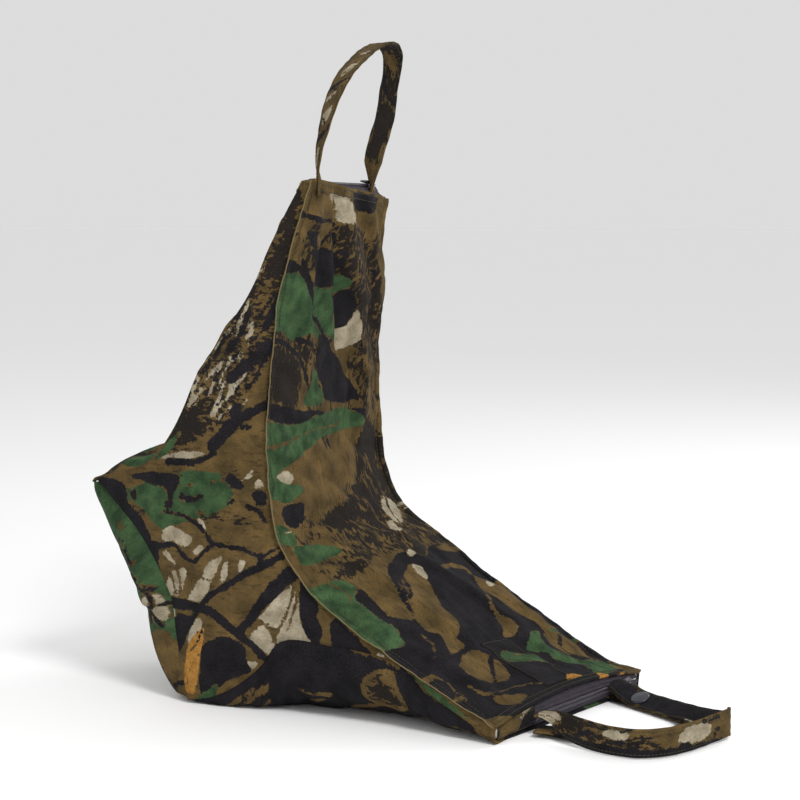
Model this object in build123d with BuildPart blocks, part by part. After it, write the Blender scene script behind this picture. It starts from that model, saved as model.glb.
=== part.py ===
"""Camera bean bag: a cloth bag of beads with a blunt head limb and two flat limbs that straddle a rail.

Millimetres, +Z up. X runs from the head towards the lying limb, Y runs from seam to seam, and the bag rests on
Z = 0. The bag is drawn as its side outline in XZ, which changes a little from the near seam to the far seam.
"""

import os
from math import cos, hypot, radians, sin

from build123d import *

os.makedirs("parts", exist_ok=True)

# ---- Driving dimensions -------------------------------------------------------------------------------------
SEAM_Y = 100.0  # half the width between the two side panels
KEEL_Y = 50.0  # half the width of the underside that lies flat
CLOTH = 1.5  # a panel with the seam allowance that backs it
FILL_GAP = 1.5  # space left between the cloth and the beads
SEAM_RIDGE = 3.0  # the joined panel edges stand this far proud of the saddle
MOUTH_RISE = 6.0  # each mouth gapes this much more in its middle than at its corners
SOLE_CUT = 0.4  # the underside is drawn this much too low, and cut off flat at Z = 0
REST_X = 120.0  # the origin is on the flat underside, this far from the foot of the head
HEM_WIDTH = 8.0
HEM_THICKNESS = 1.05
HEM_GAP = 0.15  # between the hem and the panel's face that it is folded onto
FACING_THICKNESS = 0.8
FACING_HALF_WIDTH = 20.0

STRAP_WIDTH = 20.0
STRAP_THICKNESS = 1.8
UNDER_STRAP_Z = 1.0  # underside of the strap that lies lowest
LEVEL_STRAP_Z = 7.1  # middle of the handle where it lies flat over the press stud
HANDLE_Z = 19.1  # height at which the lying limb's handle leaves the hem
HANDLE_NEAR, HANDLE_FAR = -30.0, 62.0  # its two ends, along the lower mouth
UPPER_NEAR, UPPER_FAR = 88.0, -62.0  # the other handle's ends, along the upper mouth
UPPER_HANDLE_W = 6.0  # how far towards the saddle that handle stands
STRAP_CLEAR = 1.6  # gap between a strap's sewn end and the mouth

TAPE_THICKNESS = 0.6
COIL_GAP = 0.6  # half the slot that the slider's wedge runs in
COIL_EDGE = 2.2
ZIP_NEAR, ZIP_FAR = 50.0, 82.0  # the zip's two ends, measured from the middle of the mouth
SLIDER_REST = 76.0
PLATE = 1.2  # thickness of the slider's two plates
SLIDER_HALF = 5.5  # half its length
SLIDER_TOP, SLIDER_BOTTOM = 0.3, -3.9  # undersides of its two plates, above and below the coils
PIN_N = 2.5  # height of the pull's pin above the tape
PIN_RADIUS = 0.55
PULL_LENGTH, PULL_WIDTH, PULL_HALF_THICKNESS = 18.0, 5.8, 0.6
STOP_HEIGHT = 1.0

# Side outline at each seam, clockwise: back, upper mouth, saddle, lower mouth, belly, and the head's end.
NEAR = {
    "back": [(-84, 161), (-41, 177), (14, 250), (70, 332), (99, 385)],
    "saddle": [(113, 385), (78, 310), (71, 216), (81, 129), (106, 95), (178, 52), (253, 15)],
    "belly": [(253, 1.6), (203, 18), (150, 38), (90, 46), (46, 19), (0, 0)],
}
FAR = {
    "back": [(-84, 161), (-46, 176), (2, 248), (38, 318), (45, 385)],
    "saddle": [(59, 385), (59, 310), (54, 216), (73, 131), (115, 93), (180, 52), (282, 15)],
    "belly": [(282, 1.6), (215, 18), (155, 38), (90, 46), (46, 19), (0, 0)],
}
BACK = [0, 1, 2, 3, 4]
SADDLE = [5, 6, 7, 8, 9, 10, 11]
BELLY = [12, 13, 14, 15, 16, 17]
HEAD = [17, 0]
STATIONS = (-SEAM_Y, -KEEL_Y, KEEL_Y, SEAM_Y)

# Mouth planes: x along the zip, y towards the saddle, z out of the bag.
LOWER = Plane(origin=(267.5, 0, 9.5), x_dir=(29, 200, 0), z_dir=(200, -29, 0))
UPPER = Plane(origin=(79, 0, 385), x_dir=(54, -200, 0), z_dir=(0, 0, 1))
# Each mouth: its plane, which way along it is far, the tape's edge at corner and middle on the saddle side and on
# the other side, and the angle at which the slider's pull rests.
MOUTHS = {
    "lower": {"plane": LOWER, "far": 1, "saddle": (3.2, 9.2), "other": (-6.2, -6.2), "pull": 5},
    "upper": {"plane": UPPER, "far": -1, "saddle": (4.8, 7.8), "other": (-4.8, -7.8), "pull": 4},
}


def save(piece, name):
    """Writes a finished piece, moved so that the origin is under the middle of the bag."""
    piece.part = piece.part.moved(Location((-REST_X, 0, 0)))
    piece.part.label = name
    export_step(piece.part, f"parts/{name}.step")


# ---- Outline ------------------------------------------------------------------------------------------------
def between(a, b, share):
    return (a[0] + (b[0] - a[0]) * share, a[1] + (b[1] - a[1]) * share)


def outline(y):
    """The side outline at y, as one closed list of (x, z) points. The underside is flat except at the seams."""
    share = (y + SEAM_Y) / (2 * SEAM_Y)
    back, saddle, belly = (
        [between(a, b, share) for a, b in zip(NEAR[name], FAR[name])] for name in ("back", "saddle", "belly")
    )
    if abs(y) < SEAM_Y:
        belly[1:] = [(x, -SOLE_CUT) for x, _ in belly[1:]]
        back[-1] = (back[-1][0] - MOUTH_RISE / 2, back[-1][1])
        saddle[0] = (saddle[0][0] + MOUTH_RISE / 2, saddle[0][1])
        saddle[-1] = (saddle[-1][0], saddle[-1][1] + MOUTH_RISE)
    return back + saddle + belly


def outward(start, end):
    """The unit normal that points out of the bag from the outline's edge start to end."""
    length = hypot(end[0] - start[0], end[1] - start[1])
    return (-(end[1] - start[1]) / length, (end[0] - start[0]) / length)


def inset(points, amount):
    """The closed outline moved inwards by amount, with mitred corners. A negative amount moves it outwards."""
    moved = []
    for i, point in enumerate(points):
        ax, az = outward(points[i - 1], point)
        bx, bz = outward(point, points[(i + 1) % len(points)])
        scale = -amount / (1 + ax * bx + az * bz)
        moved.append((point[0] + (ax + bx) * scale, point[1] + (az + bz) * scale))
    return moved


def at(y):
    """The plane of a section at y, whose local axes are +X and +Z."""
    return Plane(origin=(0, y, 0), x_dir=(1, 0, 0), z_dir=(0, -1, 0))


def draw_run(points, run):
    """Draws one panel's edge: smooth, but straight where a hem lies on it."""
    spots = [points[i] for i in run]
    if run is HEAD:
        Line(*spots)
        return
    if run is not BACK:
        Line(spots[0], spots[1])
        del spots[0]
    if run is BELLY:
        Spline(*spots)
        return
    start = (Vector(*spots[1]) - Vector(*spots[0])).normalized()
    if run is SADDLE:
        start = (Vector(*spots[0]) - Vector(*points[run[0]])).normalized()
    end = (Vector(*spots[-1]) - Vector(*spots[-2])).normalized()
    Spline(*spots[:-1], tangents=(start, end))
    Line(spots[-2], spots[-1])


def draw_outline(points):
    draw_run(points, BACK)
    Line(points[BACK[-1]], points[SADDLE[0]])
    draw_run(points, SADDLE)
    Line(points[SADDLE[-1]], points[BELLY[0]])
    draw_run(points, BELLY)
    draw_run(points, HEAD)


def draw_band(outer, inner, run):
    """Draws the section of a strip that lies between two outlines along one run."""
    draw_run(outer, run)
    Line(outer[run[-1]], inner[run[-1]])
    draw_run(inner, run)
    Line(inner[run[0]], outer[run[0]])


# ---- The sewn bag -------------------------------------------------------------------------------------------
for name, run in (("back", BACK), ("saddle", SADDLE), ("belly", BELLY), ("head", HEAD)):
    with BuildPart() as panel:
        for y in STATIONS:
            with BuildSketch(at(y)):
                with BuildLine():
                    draw_band(outline(y), inset(outline(y), CLOTH), run)
                make_face()
        loft(ruled=True)
        if run in (BELLY, HEAD):
            with BuildSketch(Plane.XY):
                Rectangle(900, 300)
            extrude(amount=-5, mode=Mode.SUBTRACT)
    save(panel, f"{name}_panel")

for side, sign in (("near", -1), ("far", 1)):
    edge = outline(sign * SEAM_Y)
    with BuildPart() as side_panel:
        with BuildSketch(at(sign * SEAM_Y)):
            with BuildLine():
                draw_outline(edge)
            make_face()
        extrude(amount=-sign * CLOTH)
    save(side_panel, f"{side}_side_panel")

    with BuildPart() as ridge:
        with BuildSketch(at(sign * SEAM_Y)):
            with BuildLine():
                draw_band(inset(edge, -SEAM_RIDGE), edge, SADDLE)
            make_face()
        extrude(amount=-sign * CLOTH)
    save(ridge, f"{side}_saddle_seam")

# The beads fill the bag up to the cloth, and stop short of both zips.
ZIP_ROOM = 6.0
with BuildPart() as bean_fill:
    for y in STATIONS:
        inside = y if abs(y) < SEAM_Y else y * (1 - FILL_GAP / SEAM_Y)
        with BuildSketch(at(inside)):
            with BuildLine():
                draw_outline(inset(outline(y), CLOTH + FILL_GAP))
            make_face()
    loft(ruled=True)
    for plane in (LOWER, UPPER):
        with BuildSketch(plane.offset(-ZIP_ROOM)):
            Rectangle(260, 80)
        extrude(amount=40, mode=Mode.SUBTRACT)
save(bean_fill, "bean_fill")

# A strip of cloth is sewn behind the saddle panel of the lying limb, and its box of stitches shows outside.
with BuildPart() as saddle_facing:
    for y in (-FACING_HALF_WIDTH, FACING_HALF_WIDTH):
        near, far = outline(-KEEL_Y), outline(KEEL_Y)
        section = [between(a, b, (y + KEEL_Y) / (2 * KEEL_Y)) for a, b in zip(near, far)]
        above = inset(section, CLOTH + 0.3)
        below = inset(section, CLOTH + 0.3 + FACING_THICKNESS)
        start, end = SADDLE[-2], SADDLE[-1]
        with BuildSketch(at(y)):
            with BuildLine():
                Polyline(
                    between(above[start], above[end], 0.1),
                    between(above[start], above[end], 0.85),
                    between(below[start], below[end], 0.85),
                    between(below[start], below[end], 0.1),
                    close=True,
                )
            make_face()
    loft(ruled=True)
save(saddle_facing, "saddle_facing")

# ---- Hems: the folded edge of each panel at a mouth ---------------------------------------------------------
for name, start, end, lip in (
    ("upper_back_hem", BACK[-2], BACK[-1], BACK[-1]),
    ("upper_saddle_hem", SADDLE[0], SADDLE[1], SADDLE[0]),
    ("lower_saddle_hem", SADDLE[-2], SADDLE[-1], SADDLE[-1]),
    ("lower_belly_hem", BELLY[0], BELLY[1], BELLY[0]),
):
    with BuildPart() as hem:
        for y in STATIONS:
            points = outline(y)
            out_x, out_z = outward(points[start], points[end])
            root = points[start] if lip == end else points[end]
            length = hypot(root[0] - points[lip][0], root[1] - points[lip][1])
            fold = between(points[lip], root, HEM_WIDTH / length)
            faces = [
                [(x + out_x * lift, z + out_z * lift) for x, z in (points[lip], fold)]
                for lift in (HEM_GAP, HEM_GAP + HEM_THICKNESS)
            ]
            with BuildSketch(at(y)):
                with BuildLine():
                    Polyline(*faces[0], *reversed(faces[1]), close=True)
                make_face()
        loft(ruled=True)
    save(hem, name)

# ---- Zips: tapes, coils, stops, end tab, slider and pull ----------------------------------------------------
CORNER_S, MIDDLE_S = 98.0, 50.0

for limb, mouth in MOUTHS.items():
    plane, far = mouth["plane"], mouth["far"]

    for side, sign in (("saddle", 1), ("other", -1)):
        corner, middle = mouth[side]
        label = side if side == "saddle" else {"lower": "belly", "upper": "back"}[limb]
        with BuildPart() as tape:
            with BuildSketch(plane.offset(-TAPE_THICKNESS)):
                with BuildLine():
                    Polyline(
                        (-CORNER_S, sign * COIL_GAP),
                        (-CORNER_S, corner),
                        (-MIDDLE_S, middle),
                        (MIDDLE_S, middle),
                        (CORNER_S, corner),
                        (CORNER_S, sign * COIL_GAP),
                        close=True,
                    )
                make_face()
            extrude(amount=TAPE_THICKNESS)
        save(tape, f"{limb}_zip_tape_{label}")

        with BuildPart() as coil:
            with BuildSketch(plane.offset(-TAPE_THICKNESS - (COIL_EDGE - COIL_GAP))):
                with Locations((far * (ZIP_FAR - ZIP_NEAR) / 2, sign * (COIL_GAP + COIL_EDGE) / 2)):
                    Rectangle(ZIP_FAR + ZIP_NEAR, COIL_EDGE - COIL_GAP)
            extrude(amount=COIL_EDGE - COIL_GAP)
        save(coil, f"{limb}_zip_coil_{label}")

    with BuildPart() as bottom_stop:
        with BuildSketch(plane):
            with Locations((-far * (ZIP_NEAR - 1.5), 0)):
                RectangleRounded(2.4, 5.2, 0.5)
        extrude(amount=STOP_HEIGHT)
    save(bottom_stop, f"{limb}_zip_bottom_stop")

    with BuildPart() as top_stops:
        with BuildSketch(plane):
            with Locations((far * (ZIP_FAR + 1.6), 1.6), (far * (ZIP_FAR + 1.6), -1.6)):
                RectangleRounded(2.0, 1.6, 0.4)
        extrude(amount=STOP_HEIGHT)
    save(top_stops, f"{limb}_zip_top_stops")

    with BuildPart() as end_tab:
        saddle_corner, saddle_middle = mouth["saddle"]
        other_corner, other_middle = mouth["other"]
        with BuildSketch(plane):
            with BuildLine():
                Polyline(
                    (-far * (CORNER_S - 1), other_corner + 0.6),
                    (-far * (CORNER_S - 1), saddle_corner - 0.4),
                    (-far * (ZIP_NEAR + 1), saddle_middle - 0.6),
                    (-far * (ZIP_NEAR + 1), other_middle + 0.6),
                    close=True,
                )
            make_face()
        extrude(amount=HEM_THICKNESS)
    save(end_tab, f"{limb}_zip_end_tab")

    # The slider's two plates hold the coils between them, joined by the wedge that parts the coils.
    slider_plane = Plane(
        plane.from_local_coords((far * SLIDER_REST, 0, 0)), x_dir=plane.x_dir, z_dir=plane.z_dir
    )
    with BuildPart() as slider:
        for bottom in (SLIDER_TOP, SLIDER_BOTTOM):
            with BuildSketch(slider_plane.offset(bottom)):
                with BuildLine():
                    Polyline(
                        (-far * SLIDER_HALF, -3.4), (far * SLIDER_HALF, -4.2),
                        (far * SLIDER_HALF, 4.2), (-far * SLIDER_HALF, 3.4), close=True,
                    )
                make_face()
            extrude(amount=PLATE)
        fillet(slider.edges().filter_by(Axis(slider_plane.origin, slider_plane.z_dir)), 1.0)
        floor = SLIDER_BOTTOM + PLATE - 0.1
        with BuildSketch(slider_plane.offset(floor)):
            with Locations((far * 3.8, 0)):
                Rectangle(2.4, 0.7)
        extrude(amount=SLIDER_TOP + 0.1 - floor)
        # Side flanges, which stop short of the tape.
        with BuildSketch(slider_plane.offset(floor)):
            with Locations((0, 3.2), (0, -3.2)):
                Rectangle(8.0, 0.5)
        extrude(amount=1.9)
        # The bridge that holds the pull's pin.
        bridge = Plane(slider_plane.origin, x_dir=slider_plane.x_dir, z_dir=-slider_plane.y_dir)
        with BuildSketch(bridge):
            with Locations((0, 2.7)):
                RectangleRounded(7.0, 3.4, 1.2)
            with Locations((0, 2.45)):
                Rectangle(4.4, 1.9, mode=Mode.SUBTRACT)
        extrude(amount=1.1, both=True)
    save(slider, f"{limb}_zip_slider")

    # The pull turns on its pin, and at rest it stands at an angle to the tape.
    rest = radians(mouth["pull"])
    reach = plane.x_dir * (-far * cos(rest)) + plane.z_dir * sin(rest)
    pin = plane.from_local_coords((far * SLIDER_REST, 0, PIN_N))
    pull_plane = Plane(pin, x_dir=reach, z_dir=reach.cross(plane.y_dir))
    with BuildPart() as pull:
        with BuildSketch(pull_plane):
            with Locations((PULL_LENGTH / 2 - PULL_HALF_THICKNESS / 2, 0)):
                RectangleRounded(PULL_LENGTH + PULL_HALF_THICKNESS, PULL_WIDTH, 1.6)
            with Locations((1.4, 0)):
                Rectangle(6.8, 3.2, mode=Mode.SUBTRACT)
            with Locations((PULL_LENGTH - 3.4, 0)):
                Circle(1.3, mode=Mode.SUBTRACT)
        extrude(amount=PULL_HALF_THICKNESS, both=True)
        with BuildSketch(Plane(pin, x_dir=reach, z_dir=plane.y_dir)):
            Circle(PIN_RADIUS)
        extrude(amount=2.2, both=True)
    save(pull, f"{limb}_zip_pull")

# ---- Handle of the upright limb -----------------------------------------------------------------------------
UPPER_LEAN = radians(10)  # the loop leans this much towards the saddle
ARCH_FOOT = 23.0
with BuildPart() as upper_handle:
    with BuildSketch(UPPER.offset(STRAP_CLEAR + 0.6)):
        with Locations((UPPER_NEAR, UPPER_HANDLE_W), (UPPER_FAR, UPPER_HANDLE_W)):
            Rectangle(STRAP_WIDTH, STRAP_THICKNESS)
    extrude(amount=ARCH_FOOT + 2)
    foot = UPPER.from_local_coords((0, UPPER_HANDLE_W, 0))
    rise = UPPER.z_dir * cos(UPPER_LEAN) + UPPER.y_dir * sin(UPPER_LEAN)
    with BuildSketch(Plane(foot, x_dir=UPPER.x_dir, z_dir=UPPER.x_dir.cross(rise))):
        with BuildLine():
            Spline(
                (UPPER_NEAR, ARCH_FOOT), (82, 45), (60, 80), (26, 103), (-15, 112), (-54, 98), (-70, 66),
                (UPPER_FAR, ARCH_FOOT),
            )
        trace(line_width=STRAP_THICKNESS)
    extrude(amount=STRAP_WIDTH / 2, both=True)
save(upper_handle, "upper_handle")

# ---- Handle of the lying limb -------------------------------------------------------------------------------
LOOP_END = Vector(388, -5)  # where the loop folds back, in XY
LEVEL_START = 10.0  # the back run leaves its sewn end this far out of the mouth
with BuildPart() as lower_handle:
    # Both sewn ends leave the hem level, above the zip.
    for s, reach in ((HANDLE_NEAR, 30.0), (HANDLE_FAR, 14.0)):
        with BuildSketch(LOWER.offset(STRAP_CLEAR)):
            with Locations((s, HANDLE_Z - LOWER.origin.Z)):
                Rectangle(STRAP_WIDTH, STRAP_THICKNESS)
        extrude(amount=reach - STRAP_CLEAR)
    # The back run drops to lie level over the press stud.
    root = LOWER.from_local_coords((HANDLE_FAR, 0, LEVEL_START))
    run = Vector(LOOP_END.X - root.X, LOOP_END.Y - root.Y)
    heading = run.normalized()
    with BuildSketch(Plane((root.X, root.Y, 0), x_dir=heading, z_dir=(heading.Y, -heading.X, 0))):
        with BuildLine():
            Polyline((0, HANDLE_Z), (9, HANDLE_Z), (14, LEVEL_STRAP_Z), (run.length, LEVEL_STRAP_Z))
        trace(line_width=STRAP_THICKNESS)
    extrude(amount=STRAP_WIDTH / 2, both=True)
    # The front run stands on edge.
    with BuildSketch(Plane.XY.offset(UNDER_STRAP_Z + STRAP_THICKNESS + 0.3)):
        with BuildLine():
            Spline((289, -33), (303, -75), (325, -90), (357, -79), (381, -44), (LOOP_END.X, LOOP_END.Y))
        trace(line_width=STRAP_THICKNESS)
    extrude(amount=STRAP_WIDTH)
save(lower_handle, "lower_handle")

SNAP_AT = Vector(root.X, root.Y) + heading * 23.0
with BuildPart() as under_handle:
    near_end = LOWER.from_local_coords((HANDLE_NEAR, 0, STRAP_CLEAR))
    far_end = LOWER.from_local_coords((HANDLE_FAR, 0, STRAP_CLEAR))
    with BuildSketch(Plane.XY.offset(UNDER_STRAP_Z)):
        with BuildLine():
            Spline(
                (near_end.X, near_end.Y), (300, -55), (338, -66), (364, -46), (370, -10), (345, 20),
                (SNAP_AT.X, SNAP_AT.Y), (far_end.X, far_end.Y),
                tangents=(LOWER.z_dir, -LOWER.z_dir),
            )
        trace(line_width=STRAP_WIDTH)
    extrude(amount=STRAP_THICKNESS)
save(under_handle, "lower_under_handle")

# ---- Press stud: cap and socket on the handle, stud and eyelet on the strap beneath --------------------------
CAP_RADIUS, SOCKET_RADIUS = 7.5, 5.0
strap_top = LEVEL_STRAP_Z + STRAP_THICKNESS / 2
strap_bottom = LEVEL_STRAP_Z - STRAP_THICKNESS / 2
under_top = UNDER_STRAP_Z + STRAP_THICKNESS


def snap_plane(z):
    return Plane((SNAP_AT.X, SNAP_AT.Y, z))


with BuildPart() as snap_cap:
    with BuildSketch(snap_plane(strap_top)):
        Circle(CAP_RADIUS)
    extrude(amount=1.8)
    fillet(snap_cap.faces().sort_by(Axis.Z)[-1].edges(), 1.3)
save(snap_cap, "snap_cap")

with BuildPart() as snap_socket:
    with BuildSketch(snap_plane(strap_bottom)):
        Circle(SOCKET_RADIUS)
        Circle(3.0, mode=Mode.SUBTRACT)
    extrude(amount=-1.8)
save(snap_socket, "snap_socket")

with BuildPart() as snap_stud:
    with BuildSketch(snap_plane(under_top)):
        Circle(SOCKET_RADIUS)
    extrude(amount=0.6)
    with BuildSketch(snap_plane(under_top + 0.6)):
        Circle(1.8)
    extrude(amount=1.6)
    fillet(snap_stud.faces().sort_by(Axis.Z)[-1].edges(), 0.6)
save(snap_stud, "snap_stud")

with BuildPart() as snap_eyelet:
    with BuildSketch(snap_plane(UNDER_STRAP_Z)):
        Circle(SOCKET_RADIUS)
    extrude(amount=-0.8)
save(snap_eyelet, "snap_eyelet")
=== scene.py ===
"""Looks of a camouflage camera bean bag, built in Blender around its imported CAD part.

The cloth bag is made from its flat panels, sewn at shared seams, and settled by cloth simulation. Distances in
this script are millimetres in the row frame unless a name ends in _m, and MM turns them into metres.
"""

import math
import random

import bmesh
import bpy
import numpy as np
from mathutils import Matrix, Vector
from mathutils.bvhtree import BVHTree
from mathutils.geometry import delaunay_2d_cdt


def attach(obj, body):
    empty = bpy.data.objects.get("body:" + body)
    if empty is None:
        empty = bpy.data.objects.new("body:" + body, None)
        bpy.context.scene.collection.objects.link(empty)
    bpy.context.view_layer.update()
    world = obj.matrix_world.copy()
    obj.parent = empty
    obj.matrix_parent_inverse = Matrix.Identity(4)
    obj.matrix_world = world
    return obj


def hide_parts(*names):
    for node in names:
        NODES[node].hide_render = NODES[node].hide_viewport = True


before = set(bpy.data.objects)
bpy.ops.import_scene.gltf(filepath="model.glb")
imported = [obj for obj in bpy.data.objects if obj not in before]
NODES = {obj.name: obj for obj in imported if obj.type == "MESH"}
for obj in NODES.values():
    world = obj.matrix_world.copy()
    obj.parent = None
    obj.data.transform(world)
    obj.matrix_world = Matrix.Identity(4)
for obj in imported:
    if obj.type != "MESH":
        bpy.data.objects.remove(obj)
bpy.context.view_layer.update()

MM = 0.001
HALF_WIDTH = 100.0  # from the middle of the bag to each side panel
CELL = 4.4  # spacing of the simulated cloth mesh
SIMULATED_FRAMES = 24
MOST_MOVE_M = 0.008  # no point moves further than this while the cloth settles
UV = "cut"  # the UV map that holds each panel's flat coordinates, in metres

# ---- Camera, floor and light --------------------------------------------------------------------------------
AZIMUTH, ELEVATION = math.radians(28.0), math.radians(5.5)
CAMERA_DISTANCE_M = 1.5
AIM_M = Vector((0.006, 0.0, 0.22435))


def make_camera():
    back = Vector(
        (
            math.sin(AZIMUTH) * math.cos(ELEVATION),
            -math.cos(AZIMUTH) * math.cos(ELEVATION),
            math.sin(ELEVATION),
        )
    )
    data = bpy.data.cameras.new("camera")
    data.lens, data.sensor_width = 90.0, 36.0
    camera = bpy.data.objects.new("camera", data)
    bpy.context.scene.collection.objects.link(camera)
    camera.location = AIM_M + back * CAMERA_DISTANCE_M
    camera.rotation_mode = "QUATERNION"
    camera.rotation_quaternion = (-back).to_track_quat("-Z", "Y")
    bpy.context.scene.camera = camera


def make_light(name, place, aim, size, watts):
    data = bpy.data.lights.new(name, "AREA")
    data.shape, data.size, data.energy = "DISK", size, watts
    light = bpy.data.objects.new(name, data)
    bpy.context.scene.collection.objects.link(light)
    light.location = place
    light.rotation_mode = "QUATERNION"
    light.rotation_quaternion = (Vector(aim) - Vector(place)).to_track_quat("-Z", "Y")


def make_stage():
    bpy.ops.mesh.primitive_plane_add(size=60.0, location=(0, 0, 0))
    floor = bpy.context.object
    floor.name = "floor"
    material = bpy.data.materials.new("pale_floor")
    material.use_nodes = True
    shader = material.node_tree.nodes["Principled BSDF"]
    shader.inputs["Base Color"].default_value = (1.0, 1.0, 1.0, 1)
    shader.inputs["Roughness"].default_value = 0.7
    floor.data.materials.append(material)
    world = bpy.data.worlds.new("studio")
    bpy.context.scene.world = world
    world.use_nodes = True
    world.node_tree.nodes["Background"].inputs["Color"].default_value = (1.0, 1.0, 1.0, 1)
    world.node_tree.nodes["Background"].inputs["Strength"].default_value = 0.72
    make_light("key", (1.3, -0.9, 1.6), (0, 0, 0.2), 0.6, 26)
    make_light("fill", (-1.4, -1.8, 1.2), (0, 0, 0.2), 1.4, 4)
    make_light("rim", (0.6, 1.7, 1.4), (0, 0, 0.25), 0.8, 9)
    bpy.context.scene.view_settings.view_transform = "Standard"


# ---- Curves -------------------------------------------------------------------------------------------------
def evenly(curve, count):
    """count points, evenly spaced along a polyline."""
    steps = np.linalg.norm(np.diff(curve, axis=0), axis=1)
    run = np.concatenate([[0], np.cumsum(steps)])
    at = np.linspace(0, run[-1], count)
    return np.stack([np.interp(at, run, curve[:, k]) for k in range(curve.shape[1])], axis=1)


def smooth(points, count=None):
    """A smooth curve through the given points, as count even points, or about one for each cell."""
    p = np.array(points, float)
    gap = np.linalg.norm(np.diff(p, axis=0), axis=1)
    t = np.concatenate([[0], np.cumsum(gap)])
    slope = np.gradient(p, t, axis=0)
    fine = np.linspace(0, t[-1], 1200)
    i = np.clip(np.searchsorted(t, fine, "right") - 1, 0, len(gap) - 1)
    h, x = gap[i][:, None], ((fine - t[i]) / gap[i])[:, None]
    curve = (1 + 2 * x) * (1 - x) ** 2 * p[i] + x * (1 - x) ** 2 * h * slope[i]
    curve += x * x * (3 - 2 * x) * p[i + 1] + x * x * (x - 1) * h * slope[i + 1]
    return evenly(curve, count or round(t[-1] / CELL) + 1)


# ---- The sewn bag -------------------------------------------------------------------------------------------
# Seam lines of the near and the far side, as (x, y, z). Panels that meet share them. They started as photo positions
# that a scratch program projected onto the side planes, and were then moved by hand.
HEAD_TOP = {"near": (-207, -98, 163), "far": (-207, 98, 163)}
HEAD_FOOT = {"near": (-120, -100, 2), "far": (-120, 100, 2)}
SEAMS = {
    "near": {
        "back": [HEAD_TOP["near"], (-186, -100, 169), (-158, -100, 177), (-106, -100, 250), (-63, -100, 309),
                 (-35, -100, 360), (-19, -100, 386)],
        "saddle": [(-9, -100, 388), (-24, -100, 347), (-38, -100, 301), (-43, -100, 259), (-48, -100, 216),
                   (-47, -100, 173), (-39, -100, 129), (-14, -100, 95), (35, -100, 64), (83, -100, 38),
                   (134, -100, 13)],
        "belly": [(133, -100, 2), (110, -100, 15), (83, -100, 30), (59, -100, 49), (32, -100, 54), (3, -100, 56),
                  (-43, -100, 52), (-53, -100, 38), (-74, -100, 20), (-96, -100, 8), HEAD_FOOT["near"]],
        "head": [HEAD_FOOT["near"], (-128, -100, 40), (-134, -100, 77), (-155, -100, 116), (-183, -99, 146),
                 HEAD_TOP["near"]],
    },
    "far": {
        "back": [HEAD_TOP["far"], (-186, 100, 169), (-160, 100, 177), (-118, 100, 248), (-84, 100, 318),
                 (-76, 100, 360), (-74, 100, 384)],
        "saddle": [(-61, 100, 376), (-64, 100, 351), (-67, 100, 315), (-69, 100, 260), (-68, 100, 210),
                   (-61, 100, 156), (-48, 100, 130), (-15, 100, 108), (36, 100, 74), (78, 100, 50),
                   (112, 100, 29), (135, 100, 18), (161, 100, 13)],
        "belly": [(160, 100, 2), (130, 100, 10), (95, 100, 22), (62, 100, 42), (32, 100, 52), (3, 100, 54),
                  (-43, 100, 50), (-53, 100, 38), (-74, 100, 20), (-96, 100, 8), HEAD_FOOT["far"]],
        "head": [HEAD_FOOT["far"], (-128, 100, 40), (-134, 100, 77), (-155, 100, 116), (-183, 99, 146),
                 HEAD_TOP["far"]],
    },
}
PANEL_NAMES = ["back_panel", "saddle_panel", "belly_panel", "head_panel", "near_side_panel", "far_side_panel"]


def bump(x, middle, reach):
    """1 at middle, falling smoothly to 0 at reach from it."""
    return np.clip(1 - ((x - middle) / reach) ** 2, 0, 1) ** 2


def away_from_line(s, y, line):
    """Signed distance from points (s, y) to a polyline, positive on its left, and each one's share of its length."""
    line = np.array(line, float)
    seg = np.linalg.norm(np.diff(line, axis=0), axis=1)
    total, done = seg.sum(), 0.0
    best = np.full(s.shape, 1e9)
    sign, along = np.zeros(s.shape), np.zeros(s.shape)
    for (a, b), size in zip(zip(line[:-1], line[1:]), seg):
        d = (b - a) / size
        t = np.clip((s - a[0]) * d[0] + (y - a[1]) * d[1], 0, size)
        ds, dy = s - a[0] - t * d[0], y - a[1] - t * d[1]
        away = np.hypot(ds, dy)
        near = away < best
        best = np.where(near, away, best)
        sign = np.where(near, np.where(d[0] * dy - d[1] * ds >= 0, 1.0, -1.0), sign)
        along = np.where(near, (done + t) / total, along)
        done += size
    return best * sign, along


def fold(s, y, line, height, left, right):
    """A ridge of cloth along a line of (s, y) points, with its own width on each side, that fades at its ends."""
    away, along = away_from_line(s, y, line)
    width = np.where(away > 0, left, right)
    return height * np.exp(-((away / width) ** 2)) * np.clip(4 * along, 0, 1) * np.clip(4 * (1 - along), 0, 1)


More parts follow.
